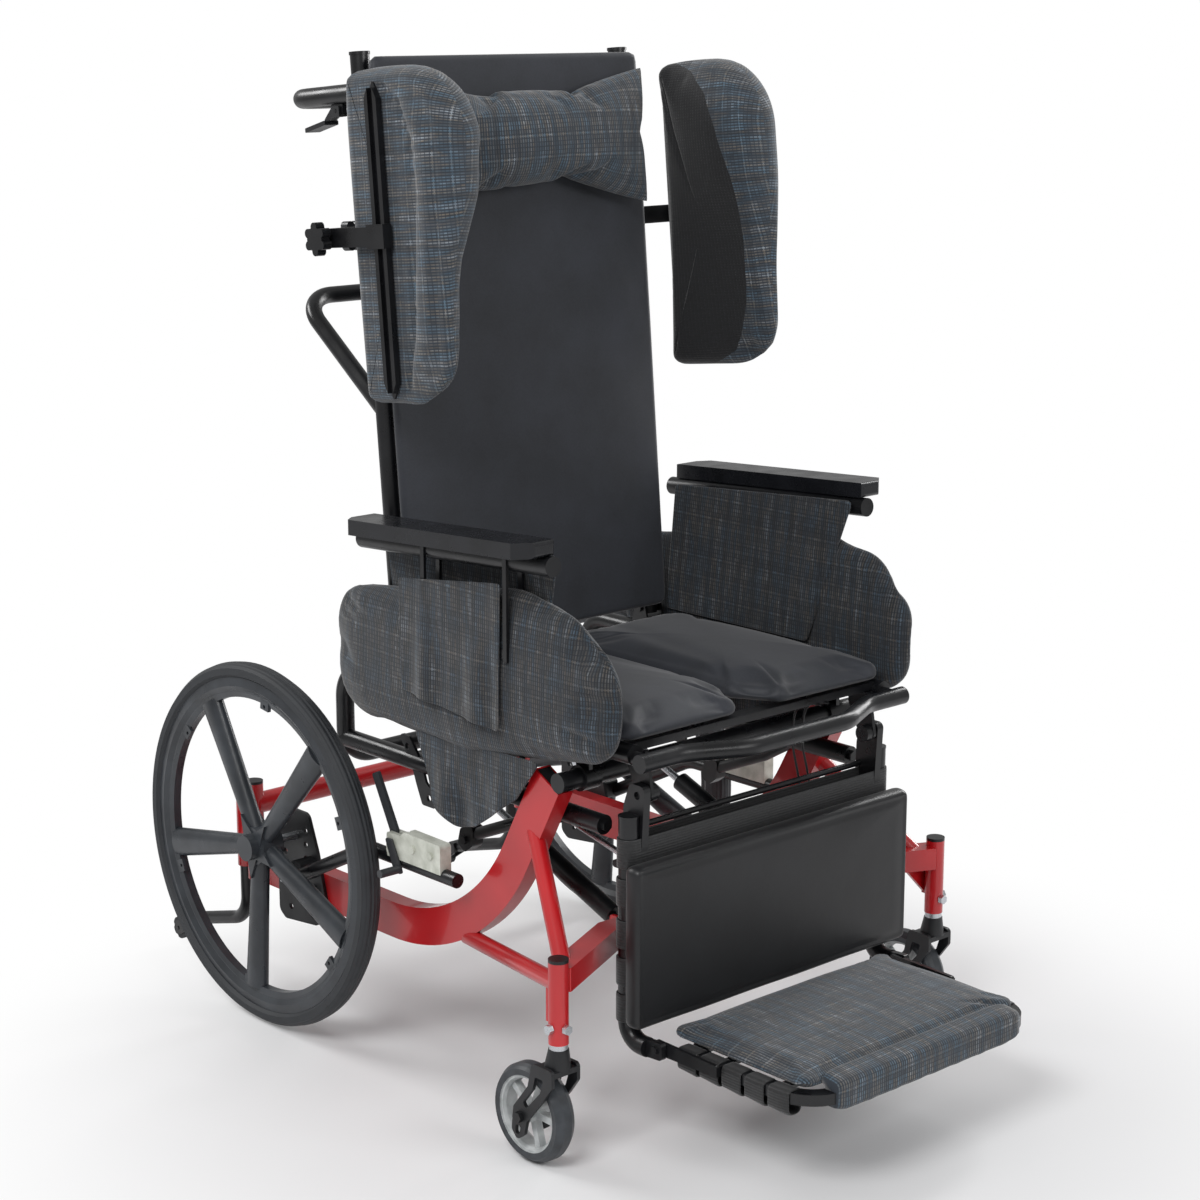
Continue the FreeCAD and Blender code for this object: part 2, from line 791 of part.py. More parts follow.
def lock_body():
    # The cast body grips the arm tube; its cheeks hold the lever's pin
    half = 9.0
    outline = [(270, 283), (270, 336), (344, 337), (352, 330), (380, 330), (382, 306), (370, 268), (352, 276)]
    body = side_plate(outline, 4, lock_x - half, lock_x + half)
    slot = block(lock_x - 2.6, lock_x + 2.6, 341, 400, lock_arm_z + lock_arm_radius + 1.5, 340)
    grip = rod(Vector(lock_x, 260, lock_arm_z), ALONG_Y, lock_arm_radius + running_clearance, 140)
    pin_start = Vector(lock_x - half, lock_pivot_y, lock_pivot_z)
    pin_hole = rod(pin_start, ALONG_X, 3 + running_clearance, 2 * half)
    body = body.cut(slot).cut(grip).cut(pin_hole)
    heads = []
    for y, z in ((290, 318), (326, 318), (356, 284)):
        heads.append(rod(Vector(lock_x + half, y, z), ALONG_X, 5, 2.5))
    return fused([largest(body)] + heads[:2])


def lock_lever():
    # Lever, pin and the round steel shoe that swings back on to the tyre
    blade = side_plate(
        [(367, 310), (378, 310), (382, 330), (418, 398), (406, 404), (368, 334)], 3, lock_x - 2.5, lock_x + 2.5
    )
    pin = rod(Vector(lock_x - 10, lock_pivot_y, lock_pivot_z), ALONG_X, 3, 22)
    link_x = lock_x + 10.2
    outline = [(366, 323), (379, 323), (360, 279), (344, 281)]
    link = side_plate(outline, 3, link_x, link_x + 3)
    shoe = rod(Vector(link_x, lock_shoe_y, lock_shoe_z), ALONG_X, 5.5, 33)
    return fused([blade, pin, link, shoe])


# Seat
def seat_loop():
    # One bent tube: both side tubes, turned down behind the seat and joined across
    points = [
        Vector(-rail_x, seat_front_y, seat_z),
        Vector(-rail_x, seat_loop_rear_y, seat_z),
        Vector(-rail_x, seat_loop_rear_y, seat_loop_low_z),
        Vector(rail_x, seat_loop_rear_y, seat_loop_low_z),
        Vector(rail_x, seat_loop_rear_y, seat_z),
        Vector(rail_x, seat_front_y, seat_z),
    ]
    return tube(points, tube_radius, 42)


def lower_side_tube():
    start = Vector(rail_x, seat_lower_front_y, seat_lower_z)
    side_tube = rod(start, ALONG_Y, tube_radius, seat_loop_rear_y - seat_lower_front_y)
    end_bolt = hexagon_head(start, ALONG_Y * -1, 13.0, 6.0)
    outline = [
        (448, 436), (424, 434), (400, 404), (390, 378), (370, 364), (370, 346), (398, 346), (410, 372), (420, 398)
    ]
    link = side_plate(outline, 5, rail_x + 4, rail_x + 8)
    for y, z in ((428, 420), (384, 358)):
        link = link.cut(rod(Vector(rail_x, y, z), ALONG_X, small_plate_hole, 20))
    return [side_tube, end_bolt, link]


def tilt_sleeve():
    # Sleeve round the pivot tube, with its web up to the side tube
    start = Vector(rail_x - 16, pivot_y, pivot_z)
    sleeve = rod(start, ALONG_X, tube_radius + 4, 26)
    web = block(rail_x - 3, rail_x + 3, pivot_y - 12, pivot_y + 12, pivot_z, seat_z)
    return sleeve.fuse(web)


def hinge_lugs():
    outline = [(hinge_y - 20, seat_z + 4), (hinge_y + 20, seat_z + 4), (hinge_y + 9, hinge_z + 8), (hinge_y - 9, hinge_z + 8)]
    lugs = []
    for x in (rail_x - tube_radius - 0.8 - 3, rail_x + tube_radius + 0.8):
        lugs.append(side_plate(outline, 5, x, x + 3))
    pad = block(rail_x - 16.3, rail_x + 16.3, hinge_y - 24, hinge_y + 24, seat_z, seat_z + 14)
    pin = rod(Vector(rail_x - 20, hinge_y, hinge_z), ALONG_X, pin_radius, 40)
    return lugs + [pad, pin]


def arm_socket(y):
    # Guide on the side tube for one inner arm post
    half = arm_post_width / 2
    arm = block(rail_x + 4, post_inner_x + 8, y - half - 3, y + half + 3, seat_z - 12, seat_z + 8)
    tower = block(post_inner_x - 4, post_inner_x + 8, y - half - 3, y + half + 3, seat_z - 12, seat_z + 30)
    shell = arm.fuse(tower)
    gap = 0.5
    slot = block(
        post_inner_x - gap, post_inner_x + arm_post_thickness + gap, y - half - gap, y + half + gap, 0, 900
    )
    return shell.cut(slot)


post_inner_x = arm_x - tube_radius - 2.0
post_outer_x = arm_x + tube_radius - 2.0


def leg_lugs():
    # The plate under each side tube's front end that carries the leg rest's pin
    outline = [(-13, 440), (13, 440), (34, 484), (34, 500), (-2, 500)]
    plate = side_plate(outline, 6, 197, 202)
    spacer = block(197, rail_x, 2, 32, seat_z - 11, seat_z)
    pin = rod(Vector(190, leg_pivot_y, leg_pivot_z), ALONG_X, pin_radius, 21)
    boss = rod(Vector(187, leg_pivot_y, leg_pivot_z), ALONG_X, 11, 10)
    return [plate, spacer, pin, boss]


def bow_tube():
    # The front tube under the seat bows forward between its two ends
    points = [
        Vector(-bow_end_x, bow_end_y, bow_z),
        Vector(-165, bow_end_y, bow_z),
        Vector(-90, bow_front_y, bow_z),
        Vector(90, bow_front_y, bow_z),
        Vector(165, bow_end_y, bow_z),
        Vector(bow_end_x, bow_end_y, bow_z),
    ]
    return tube(points, 11.5, 60)


def tilt_eye_lug(side):
    x = side * (tilt_spring_x + 5.5)
    eye = tilt_seat_eye
    outline = [(eye.y - 9, eye.z - 9), (eye.y + 9, eye.z - 9), (eye.y + 9, seat_lower_z), (eye.y - 9, seat_lower_z)]
    return side_plate(outline, 5, x, x + side * 4)


def stop_arm():
    # Bent arm with a clevis behind each curved rail
    points = [Vector(rail_x, 150, seat_lower_z), Vector(rail_x, 208, 366), Vector(rail_x, 300, 327)]
    arm = tube(points, 8, 40)
    clevis = side_plate([(292, 342), (318, 334), (324, 312), (310, 302), (294, 314)], 6, rail_x - 9, rail_x + 9)
    bolt_head = hexagon_head(Vector(rail_x + 9, 309, 320), ALONG_X, 10, 4)
    return [arm, clevis, bolt_head]


def seat_frame():
    cross_front = block(-rail_x, rail_x, 6, 26, seat_z + 1, seat_z + 11)
    cross_rear = rod(Vector(-rail_x, 400, seat_z), ALONG_X, light_tube_radius, 2 * rail_x)
    cross_low = rod(Vector(-rail_x, tilt_seat_eye.y, seat_lower_z), ALONG_X, 9, 2 * rail_x)
    bow_struts = []
    for side in (-1, 1):
        bow_struts.append(rod(Vector(side * rail_x, bow_end_y, bow_z), ALONG_Y, 9, 30))
    parts = [cross_front, cross_rear, cross_low, bow_tube()] + bow_struts
    parts.append(seat_loop())
    for side in ("l", "r"):
        for shape in [tilt_sleeve()] + lower_side_tube() + hinge_lugs() + leg_lugs() + stop_arm():
            parts.append(on_side(shape, side))
        for y in arm_post_ys:
            parts.append(on_side(arm_socket(y), side))
    for side in (-1, 1):
        parts.append(tilt_eye_lug(side))
    parts += leg_spring_bracket()
    frame = fused(parts)
    frame = frame.cut(rod(Vector(-400, pivot_y, pivot_z), ALONG_X, tube_radius + running_clearance, 800))
    return largest(frame)


def leg_spring_bracket():
    eye = leg_rear_eye
    outline = [(eye.y - 10, eye.z - 10), (eye.y + 10, eye.z - 10), (eye.y + 14, seat_z), (eye.y - 2, seat_z)]
    plate = side_plate(outline, 5, leg_spring_x - 9.5, leg_spring_x - 5.5)
    foot = block(-rail_x, leg_spring_x - 5.5, eye.y, eye.y + 14, seat_z - 8, seat_z + 4)
    return [plate, foot]


def crown_section(centre_x, y, half_width, bottom, top, crown, draw):
    # Flat underside, drawn-in sides and a crowned top, as one closed wire
    low_left = Vector(centre_x - half_width + draw, y, bottom)
    low_right = Vector(centre_x + half_width - draw, y, bottom)
    side_right = Vector(centre_x + half_width, y, (bottom + top) / 2)
    high_right = Vector(centre_x + half_width - draw, y, top)
    high_middle = Vector(centre_x, y, top + crown)
    high_left = Vector(centre_x - half_width + draw, y, top)
    side_left = Vector(centre_x - half_width, y, (bottom + top) / 2)
    edges = [
        Part.LineSegment(low_left, low_right).toShape(),
        Part.Arc(low_right, side_right, high_right).toShape(),
        Part.Arc(high_right, high_middle, high_left).toShape(),
        Part.Arc(high_left, side_left, low_left).toShape(),
    ]
    return Part.Wire(edges)


def crowned_cushion(centre_x, half_width, front_y, rear_y, bottom, height, crown, draw):
    # A loft from the front edge to the rear edge, thinner at both ends
    middle = (front_y + rear_y) / 2
    stations = (
        (front_y, 0.45, 0.1, draw),
        (front_y + draw, 0.85, 0.5, 0.0),
        (middle, 1.0, 1.0, 0.0),
        (rear_y - draw, 0.85, 0.5, 0.0),
        (rear_y, 0.45, 0.1, draw),
    )
    wires = []
    for y, share, crowned, shrink in stations:
        low = bottom + height * (1 - share) * 0.3
        high = low + height * share
        wires.append(crown_section(centre_x, y, half_width - shrink, low, high, crown * crowned, draw * 0.6))
    return Part.makeLoft(wires, True, True)


def seat_cushion():
    # One of two halves, with the cut-away inner front corner
    gap = 1.5
    half = (cushion_half_width - gap) / 2
    cushion = crowned_cushion(
        gap + half, half, seat_front_y + 4, cushion_rear_y, cushion_bottom_z, cushion_height, cushion_crown, 12
    )
    notch = Part.Face(
        Part.makePolygon(
            [Vector(-1, -20, 480), Vector(44, -20, 480), Vector(10, 62, 480), Vector(-1, 62, 480), Vector(-1, -20, 480)]
        )
    ).extrude(Vector(0, 0, 120))
    return cushion.cut(notch)


def bolster_wire(x, inset):
    corners = [
        (Vector(x, -16 + inset, 498 + inset), 52 - inset),
        (Vector(x, 250, 452 + inset), 260),
        (Vector(x, 531 - inset, 458 + inset), 45 - inset),
        (Vector(x, 529 - inset, 630 - inset), 34 - inset),
        (Vector(x, 150, 690 - inset), 150),
        (Vector(x, 46, 668 - inset), 80),
        (Vector(x, -18 + inset, 604 - inset), 56 - inset),
    ]
    return rounded_outline(corners)


def bolster():
    # Side pad with a full middle and drawn-in edges; slots let the inner arm posts through
    width = bolster_outer_x - bolster_inner_x
    stations = ((0.0, 16.0), (0.22, 3.0), (0.5, 0.0), (0.78, 3.0), (1.0, 16.0))
    wires = [bolster_wire(bolster_inner_x + width * share, inset) for share, inset in stations]
    pad = Part.makeLoft(wires, True, True).cut(panel_room())
    half = arm_post_width / 2
    for y in arm_post_ys:
        slot = block(post_inner_x - 1.5, post_inner_x + arm_post_thickness + 1.5, y - half - 1.5, y + half + 1.5, 400, 740)
        around = block(0, post_inner_x + 9, y - half - 4, y + half + 4, 400, seat_z + 31)
        pad = pad.cut(slot).cut(around)
    # The rail's end rises beside the pad as the seat tilts back
    rail_outer_x = rail_centre_x + rail_width / 2
    tilt_room = block(0, rail_outer_x + 3, pivot_y + 24, arm_post_ys[0], 440, seat_z - 13)
    return largest(pad.cut(tilt_room))


def bolster_flap():
    # The cloth flap over the outer posts
    outline = [(97, 694), (150, 692), (288, 676), (286, 574), (98, 558)]
    start = post_outer_x + arm_post_thickness + soft_clearance
    return side_plate(outline, 4, start, start + 1.6)


def skirt():
    # The hanging pouch below the bolster
    outline = [(112, 474), (358, 466), (318, 366), (275, 351), (237, 362), (199, 387), (157, 418)]
    pouch = side_plate(outline, 9, 268, 275)
    return largest(pouch.cut(bolster()))


def arm_slope_z(y):
    share = (y - arm_front_y) / (arm_rear_y - arm_front_y)
    return arm_front_z + share * (arm_rear_z - arm_front_z)


def arm_frame():
    # The arm tube and its two pairs of flat posts
    bar = rod_between(
        Vector(arm_x, arm_front_y, arm_front_z), Vector(arm_x, arm_rear_y, arm_rear_z), tube_radius
    )
    parts = [bar]
    half = arm_post_width / 2
    for y in arm_post_ys:
        top = arm_slope_z(y)
        parts.append(block(post_inner_x, post_inner_x + arm_post_thickness, y - half, y + half, 443, top + 4))
        parts.append(block(post_outer_x, post_outer_x + arm_post_thickness, y - half, y + half, 596, top + 4))
    outer_tie = block(
        post_outer_x, post_outer_x + arm_post_thickness, arm_post_ys[0], arm_post_ys[1], 600, 612
    )
    return fused(parts + [outer_tie])


def arm_pad():
    # Moulded pad with chamfered ends, lying on the arm tube
    front_low = arm_slope_z(84) + tube_radius + 0.2
    rear_low = arm_slope_z(440) + tube_radius + 0.2
    outline = [(84, front_low), (440, rear_low), (440, rear_low + arm_pad_height), (84, front_low + arm_pad_height)]
    pad = side_plate(outline, 5, arm_pad_inner_x, arm_pad_inner_x + arm_pad_width)
    step = arm_pad_width * 0.6
    plan_outline = [
        (arm_pad_inner_x, 84),
        (arm_pad_inner_x + step, 84),
        (arm_pad_inner_x + arm_pad_width, 102),
        (arm_pad_inner_x + arm_pad_width, 422),
        (arm_pad_inner_x + step, 440),
        (arm_pad_inner_x, 440),
    ]
    return pad.common(level_plate(plan_outline, 4, 650, 800))


arm_pad_inner_x = 271.0


panel_low_x = 236.5
panel_low_z = seat_z + 33
panel_high_z = 738.0
panel_thickness = 5.0
panel_high_x = post_inner_x - panel_thickness - 1.0


def panel_slab(inner_shift, outer_shift, rear_y):
    section = [
        Vector(panel_low_x + inner_shift, -60, panel_low_z),
        Vector(panel_low_x + panel_thickness + outer_shift, -60, panel_low_z),
        Vector(panel_high_x + panel_thickness + outer_shift, -60, panel_high_z),
        Vector(panel_high_x + inner_shift, -60, panel_high_z),
    ]
    return Part.Face(Part.makePolygon(section + [section[0]])).extrude(Vector(0, rear_y + 60, 0))


def panel_room():
    return panel_slab(-40, 0.6, 600)


def arm_panel():
    # The tapered cloth panel between the arm tube and the seat
    outline = [(150, panel_low_z), (424, panel_low_z), (426, 713), (90, 735)]
    return panel_slab(0, 0, 500).common(side_plate(outline, 6, 220, 280))


# Back
def back_post():
    post = rod(Vector(rail_x, 0, -8), ALONG_Z, tube_radius, post_height + 8)
    return post


def back_frame():
    # Two posts, three cross tubes and the cap on each post
    parts = both_sides(back_post())
    for height in (70, 400, 700):
        parts.append(rod(Vector(-rail_x, 0, height), ALONG_X, 9, 2 * rail_x))
    for side in (-1, 1):
        parts.append(rod(Vector(side * rail_x, 0, post_height), ALONG_Z, tube_radius + 1, cap_thickness))
    frame = fused(parts)
    return frame.cut(rod(Vector(-300, 0, 0), ALONG_X, pin_radius + running_clearance, 600))


def bar_bracket():
    # The hanger under the push bar that carries one release lever
    return block(rail_x - 3, rail_x + 3, lever_pin_y - 12, lever_pin_y + 12, push_bar_height - 26, push_bar_height - 6)


lever_pin_y = 52.0
lever_pin_drop = 20.0


def push_bars():
    # The push bar at the top and the bent lower bar behind the back
    top = tube(
        [
            Vector(-rail_x, 0, push_bar_height),
            Vector(-rail_x, push_bar_reach, push_bar_height),
            Vector(rail_x, push_bar_reach, push_bar_height),
            Vector(rail_x, 0, push_bar_height),
        ],
        tube_radius,
        bar_bend,
    )
    pins = []
    for side in (-1, 1):
        start = Vector(side * rail_x - 7, lever_pin_y, push_bar_height - lever_pin_drop)
        pins.append(rod(start, ALONG_X, 2.5, 14))
    top = fused([top] + both_sides(bar_bracket()) + pins)
    low = tube(
        [
            Vector(-rail_x, 0, rear_bar_foot),
            Vector(-rail_x, rear_bar_reach, rear_bar_height),
            Vector(rail_x, rear_bar_reach, rear_bar_height),
            Vector(rail_x, 0, rear_bar_foot),
        ],
        light_tube_radius,
        bar_bend,
    )
    bars = []
    for bar in (top, low):
        for post in both_sides(back_post()):
            bar = bar.cut(post)
        bars.append(largest(bar))
    return bars


def release_lever():
    # A flat paddle under the push bar
    z = push_bar_height - lever_pin_drop
    cheeks = []
    for x in (rail_x - 6.5, rail_x + 3.5):
        outline = [(44, z - 8), (60, z - 8), (76, z - 16), (76, z - 10), (58, z + 6), (44, z + 6)]
        cheeks.append(side_plate(outline, 2, x, x + 3))
    blade = side_plate([(70, z - 17), (114, z - 25), (114, z - 19), (70, z - 11)], 1.5, rail_x - 11, rail_x + 11)
    lever = fused(cheeks + [blade])
    return lever.cut(rod(Vector(rail_x - 20, lever_pin_y, z), ALONG_X, 2.5 + running_clearance, 40))


def back_panel():
    # The tall smooth panel in front of the posts
    front = back_panel_front
    rear = -tube_radius - soft_clearance
    stations = ((6, 8.0, 0.0), (20, 0.0, 3.0), (380, 0.0, 5.0), (755, 0.0, 3.0), (back_panel_top, 8.0, 0.0))
    wires = []
    for height, shrink, crown in stations:
        half = back_panel_half_width - shrink * 0.5
        f = front + shrink * 0.8
        edges = [
            Part.LineSegment(Vector(half, rear, height), Vector(-half, rear, height)).toShape(),
            Part.Arc(
                Vector(-half, rear, height),
                Vector(-half - 2, (rear + f) / 2, height),
                Vector(-half, f, height),
            ).toShape(),
            Part.Arc(
                Vector(-half, f, height), Vector(0, f - crown - 0.5, height), Vector(half, f, height)
            ).toShape(),
            Part.Arc(
                Vector(half, f, height), Vector(half + 2, (rear + f) / 2, height), Vector(half, rear, height)
            ).toShape(),
        ]
        wires.append(Part.Wire(edges))
    panel = Part.makeLoft(wires, True, True)
    recess_start = Vector(rail_x, 0, clamp_height - collar_height / 2 - 1)
    recess = rod(recess_start, ALONG_Z, collar_radius + soft_clearance, collar_height + 2)
    for cutter in both_sides(recess):
        panel = panel.cut(cutter)
    return panel


def head_pillow():
    # Full in the middle, with flat pointed ends
    stations = ((-204, 92, 8), (-176, 86, 36), (-90, 76, 60), (0, 74, 66), (90, 76, 60), (176, 86, 36), (204, 92, 8))
    rear = back_panel_front - 4.7
    centre = 664.0
    wires = []
    for x, half, deep in stations:
        low = Vector(x, rear, centre - half)
        high = Vector(x, rear, centre + half)
        front = Vector(x, rear - deep, centre)
        wires.append(Part.Wire([Part.LineSegment(high, low).toShape(), Part.Arc(low, front, high).toShape()]))
    return Part.makeLoft(wires, True, True)


def wing_pad():
    # Thick at head height, thinner below, with a rounded front; flat on the outside
    stations = (
        (wing_bottom, 274, -150),
        (wing_bottom + 22, 270, -204),
        (430, 264, -224),
        (520, 252, -234),
        (600, 228, -243),
        (670, 218, -240),
        (712, 220, -222),
        (742, 226, -184),
        (wing_top, 236, -130),
    )
    wires = []
    for height, inner, front in stations:
        points = [
            Vector(inner, front + 34, height),
            Vector((inner + wing_inner_rear_x) / 2, wing_rear - 40, height),
            Vector(wing_inner_rear_x, wing_rear - 2, height),
            Vector(wing_inner_rear_x, wing_inner_rear, height),
            Vector(wing_outer_x, wing_rear, height),
            Vector(wing_outer_x, front + 24, height),
        ]
        nose = Vector((wing_outer_x + inner) / 2 + 4, front, height)
        edges = [Part.LineSegment(a, b).toShape() for a, b in zip(points, points[1:])]
        edges.append(Part.Arc(points[-1], nose, points[0]).toShape())
        wires.append(Part.Wire(edges))
    return Part.makeLoft(wires, True, True)


def wing_rail():
    # A slim channel with pointed ends on the wing's outer face
    x0 = wing_outer_x + soft_clearance
    half = wing_rail_width / 2
    low = wing_bottom + 8
    high = wing_top - 16
    outline = [
        (wing_rail_y, low),
        (wing_rail_y + half, low + 22),
        (wing_rail_y + half, high - 22),
        (wing_rail_y, high),
        (wing_rail_y - half, high - 22),
        (wing_rail_y - half, low + 22),
    ]
    bar = side_plate(outline, 1.5, x0, x0 + wing_rail_depth)
    groove = block(x0 + 2.5, x0 + wing_rail_depth, wing_rail_y - 5, wing_rail_y + 5, low - 5, high + 5)
    return bar.cut(groove)


def star_knob(start, direction, radius, height):
    # A six-lobed knob on its stud
    knob = rod(Vector(0, 0, 6), ALONG_Z, radius * 0.72, height)
    lobes = []
    for i in range(6):
        angle = math.radians(60 * i)
        centre = Vector(math.cos(angle), math.sin(angle), 0) * (radius * 0.72)
        lobes.append(rod(centre + ALONG_Z * 6, ALONG_Z, radius * 0.28, height))
    stud = rod(Vector(0, 0, 0), ALONG_Z, 5, 8)
    knob = fused([knob, stud] + lobes)
    knob.Placement = FreeCAD.Placement(start, FreeCAD.Rotation(ALONG_Z, direction))
    return knob


def wing_clamp():
    # A collar that turns on the post, and an arm out to the grip on the wing's rail
    low = clamp_height - collar_height / 2
    collar = ring(Vector(rail_x, 0, low), ALONG_Z, collar_radius, tube_radius + running_clearance, collar_height)
    rail_face = wing_outer_x + soft_clearance + wing_rail_depth
    arm = block(rail_x + tube_radius + 3, rail_face + 7, -7, 7, low + 3, low + 27)
    strap = block(rail_face + 2, rail_face + 7, wing_rail_y - 17, 7, low + 3, low + 27)
    half = wing_rail_width / 2
    grip = block(rail_face - wing_rail_depth + 1, rail_face + 7, wing_rail_y - half - 5, wing_rail_y + half + 5, low, low + 30)
    channel = block(
        rail_face - wing_rail_depth - 1,
        rail_face + 0.5,
        wing_rail_y - half - 0.5,
        wing_rail_y + half + 0.5,
        low - 1,
        low + 31,
    )
    outer_knob = star_knob(Vector(rail_face + 7, -18, clamp_height), ALONG_X, 21, 13)
    seat_boss = rod(Vector(rail_x, tube_radius + 4, clamp_height), ALONG_Y, 9, 12)
    clamp = fused([collar, arm, strap, grip, seat_boss, outer_knob])
    return clamp.cut(channel)


knob_base_y = tube_radius + 16.3


def wing_knob():
    return star_knob(Vector(rail_x, knob_base_y, clamp_height), ALONG_Y, 21, 14)


# Leg rest and foot plate
def hanger():
    points = [
        Vector(hanger_x, hanger_y, hanger_top_z),
        Vector(hanger_x, hanger_y, hanger_foot_z),
        Vector(hanger_x, hanger_end_y, hanger_foot_z),
    ]
    bar = tube(points, tube_radius, 26)
    cap = rod(Vector(hanger_x, hanger_y, hanger_top_z), ALONG_Z, tube_radius + 0.5, 3)
    tongue = side_plate(
        [(-26, 124), (-58, 126), (-58, 148), (-26, 146)], 5, hanger_x - 4, hanger_x + 4
    )
    return [bar, cap, tongue]


def pivot_plate():
    outline = [(-13, 460), (13, 460), (24, 430), (26, 372), (12, 362), (-8, 372)]
    return side_plate(outline, 8, 204, hanger_x - 8)


def legrest_frame():
    parts = []
    for side in ("l", "r"):
        for shape in hanger() + [pivot_plate()]:
            parts.append(on_side(shape, side))
    thin_rod = rod(Vector(-hanger_x, 20, 400), ALONG_X, 4, 2 * hanger_x)
    lug = side_plate(
        [(hanger_y, 346.8), (leg_front_eye.y + 7, 346.8), (leg_front_eye.y + 7, 356.2), (hanger_y, 356.2)],
        3,
        -hanger_x + 8,
        leg_spring_x - 5.5,
    )
    parts += [thin_rod, lug]
    frame = fused(parts)
    for x, y, z in ((0, leg_pivot_y, leg_pivot_z), (0, foot_hinge_y, foot_hinge_z)):
        frame = frame.cut(rod(Vector(x - 400, y, z), ALONG_X, pin_radius + running_clearance, 800))
    return largest(frame)


def strap_loop(low, high, thickness):
    # A webbing loop round both hangers
    inner = tube_radius + soft_clearance
    outer = inner + thickness
    walls = []
    for reach in (outer, inner):
        outline = [
            (-hanger_x - reach, hanger_y - reach),
            (hanger_x + reach, hanger_y - reach),
            (hanger_x + reach, hanger_y + reach),
            (-hanger_x - reach, hanger_y + reach),
        ]
        walls.append(level_plate(outline, reach * 0.95, low, high))
    return walls[0].cut(walls[1])


def leg_bands():
    bands = [strap_loop(358, 395, 1.6)]
    for low in (309, 256, 208, 161):
        bands.append(strap_loop(low, low + 36, 2.4))
    trimmed = []
    for band in bands:
        for plate in both_sides(pivot_plate()):
            band = band.cut(plate)
        trimmed.append(largest(band))
    return trimmed


def calf_pad():
    # Flat vinyl pad with a slight crown and drawn-in edge
    wires = []
    middle = (calf_bottom_z + calf_top_z) / 2
    rear = hanger_y - tube_radius - 2.7 - soft_clearance
    stations = ((calf_bottom_z, 7, 0.5), (calf_bottom_z + 8, 0, 1), (middle, 0, 3), (calf_top_z - 8, 0, 1), (calf_top_z, 7, 0.5))
    for height, shrink, crown in stations:
        half = calf_half_width - shrink * 0.4
        f = calf_front_y + shrink
        edges = [
            Part.LineSegment(Vector(half, rear, height), Vector(-half, rear, height)).toShape(),
            Part.Arc(
                Vector(-half, rear, height), Vector(-half - 2, (rear + f) / 2, height), Vector(-half, f, height)
            ).toShape(),
            Part.Arc(Vector(-half, f, height), Vector(0, f - crown, height), Vector(half, f, height)).toShape(),
            Part.Arc(
                Vector(half, f, height), Vector(half + 2, (rear + f) / 2, height), Vector(half, rear, height)
            ).toShape(),
        ]
        wires.append(Part.Wire(edges))
    return Part.makeLoft(wires, True, True)


def foot_outline(inset, z0, z1):
    rear = foot_hinge_y - 14 - inset
    front = foot_front_y + inset
    half = foot_half_width - inset
    return level_plate(
        [(-half, front), (half, front), (half, rear), (-half, rear)], max(56 - inset, 6), z0, z1
    )


foot_lug_x = 213.3
foot_bar_low_z = foot_hinge_z - foot_bar_height / 2 - 2


def foot_frame():
    # A flat rounded frame with its two hinge lugs and pins
    low = foot_bar_low_z
    high = low + foot_bar_height
    ring_bar = foot_outline(0, low, high).cut(foot_outline(foot_bar_width, low, high))
    parts = [ring_bar]
    for side in ("l", "r"):
        lug = side_plate([(-36, 128), (-36, 146), (-143, 144), (-143, 130)], 4, foot_lug_x, foot_lug_x + 5)
        foot = block(foot_half_width - 8, foot_lug_x + 5, -143.5, -138.5, 130, 142)
        pin = rod(Vector(foot_lug_x, foot_hinge_y, foot_hinge_z), ALONG_X, pin_radius, 16)
        parts += [on_side(lug, side), on_side(foot, side), on_side(pin, side)]
    for y in foot_slat_ys:
        parts.append(block(-205, 205, y - 8, y + 8, low, low + 4))
    return fused(parts)


def foot_loops():
    # Webbing loops round each side bar, following the frame's rounded corners
    low = foot_bar_low_z
    high = low + foot_bar_height
    outer = foot_outline(-3.0, low - 16, high + 2.2).cut(foot_outline(foot_bar_width + 2.5, low - 16, high + 2.2))
    room = foot_outline(-0.6, low - 13.8, high + 0.3).cut(foot_outline(foot_bar_width + 0.5, low - 13.8, high + 0.3))
    band = outer.cut(room)
    for y in foot_slat_ys:
        band = band.cut(block(-205.5, 205.5, y - 8.5, y + 8.5, low - 0.5, low + 4.5))
    loops = []
    for i in range(foot_loop_count):
        start = foot_loop_start_y + foot_loop_pitch * i
        piece = band.common(block(120, foot_half_width + 10, start, start + foot_loop_width, low - 20, high + 10))
        loops += both_sides(largest(piece))
    return loops


def foot_cushion():
    # The cushion lies on the frame, and its front roll goes over the front bar
    bottom = foot_bar_low_z + foot_bar_height + 2.6
    cushion = crowned_cushion(0, 194, foot_front_y + 22, foot_hinge_y + 10, bottom, 17, 4, 14)
    roll = side_plate(
        [(foot_roll_front_y, 120), (foot_roll_front_y, 156), (foot_front_y + 21.5, 160), (foot_front_y + 21.5, 120)], 8, -165, 165
    )
    low = foot_bar_low_z - 0.4
    keep_out = foot_outline(-0.4, low, low + foot_bar_height + 0.8).cut(
        foot_outline(foot_bar_width + 0.4, low, low + foot_bar_height + 0.8)
    )
    return [cushion, largest(roll.cut(keep_out))]


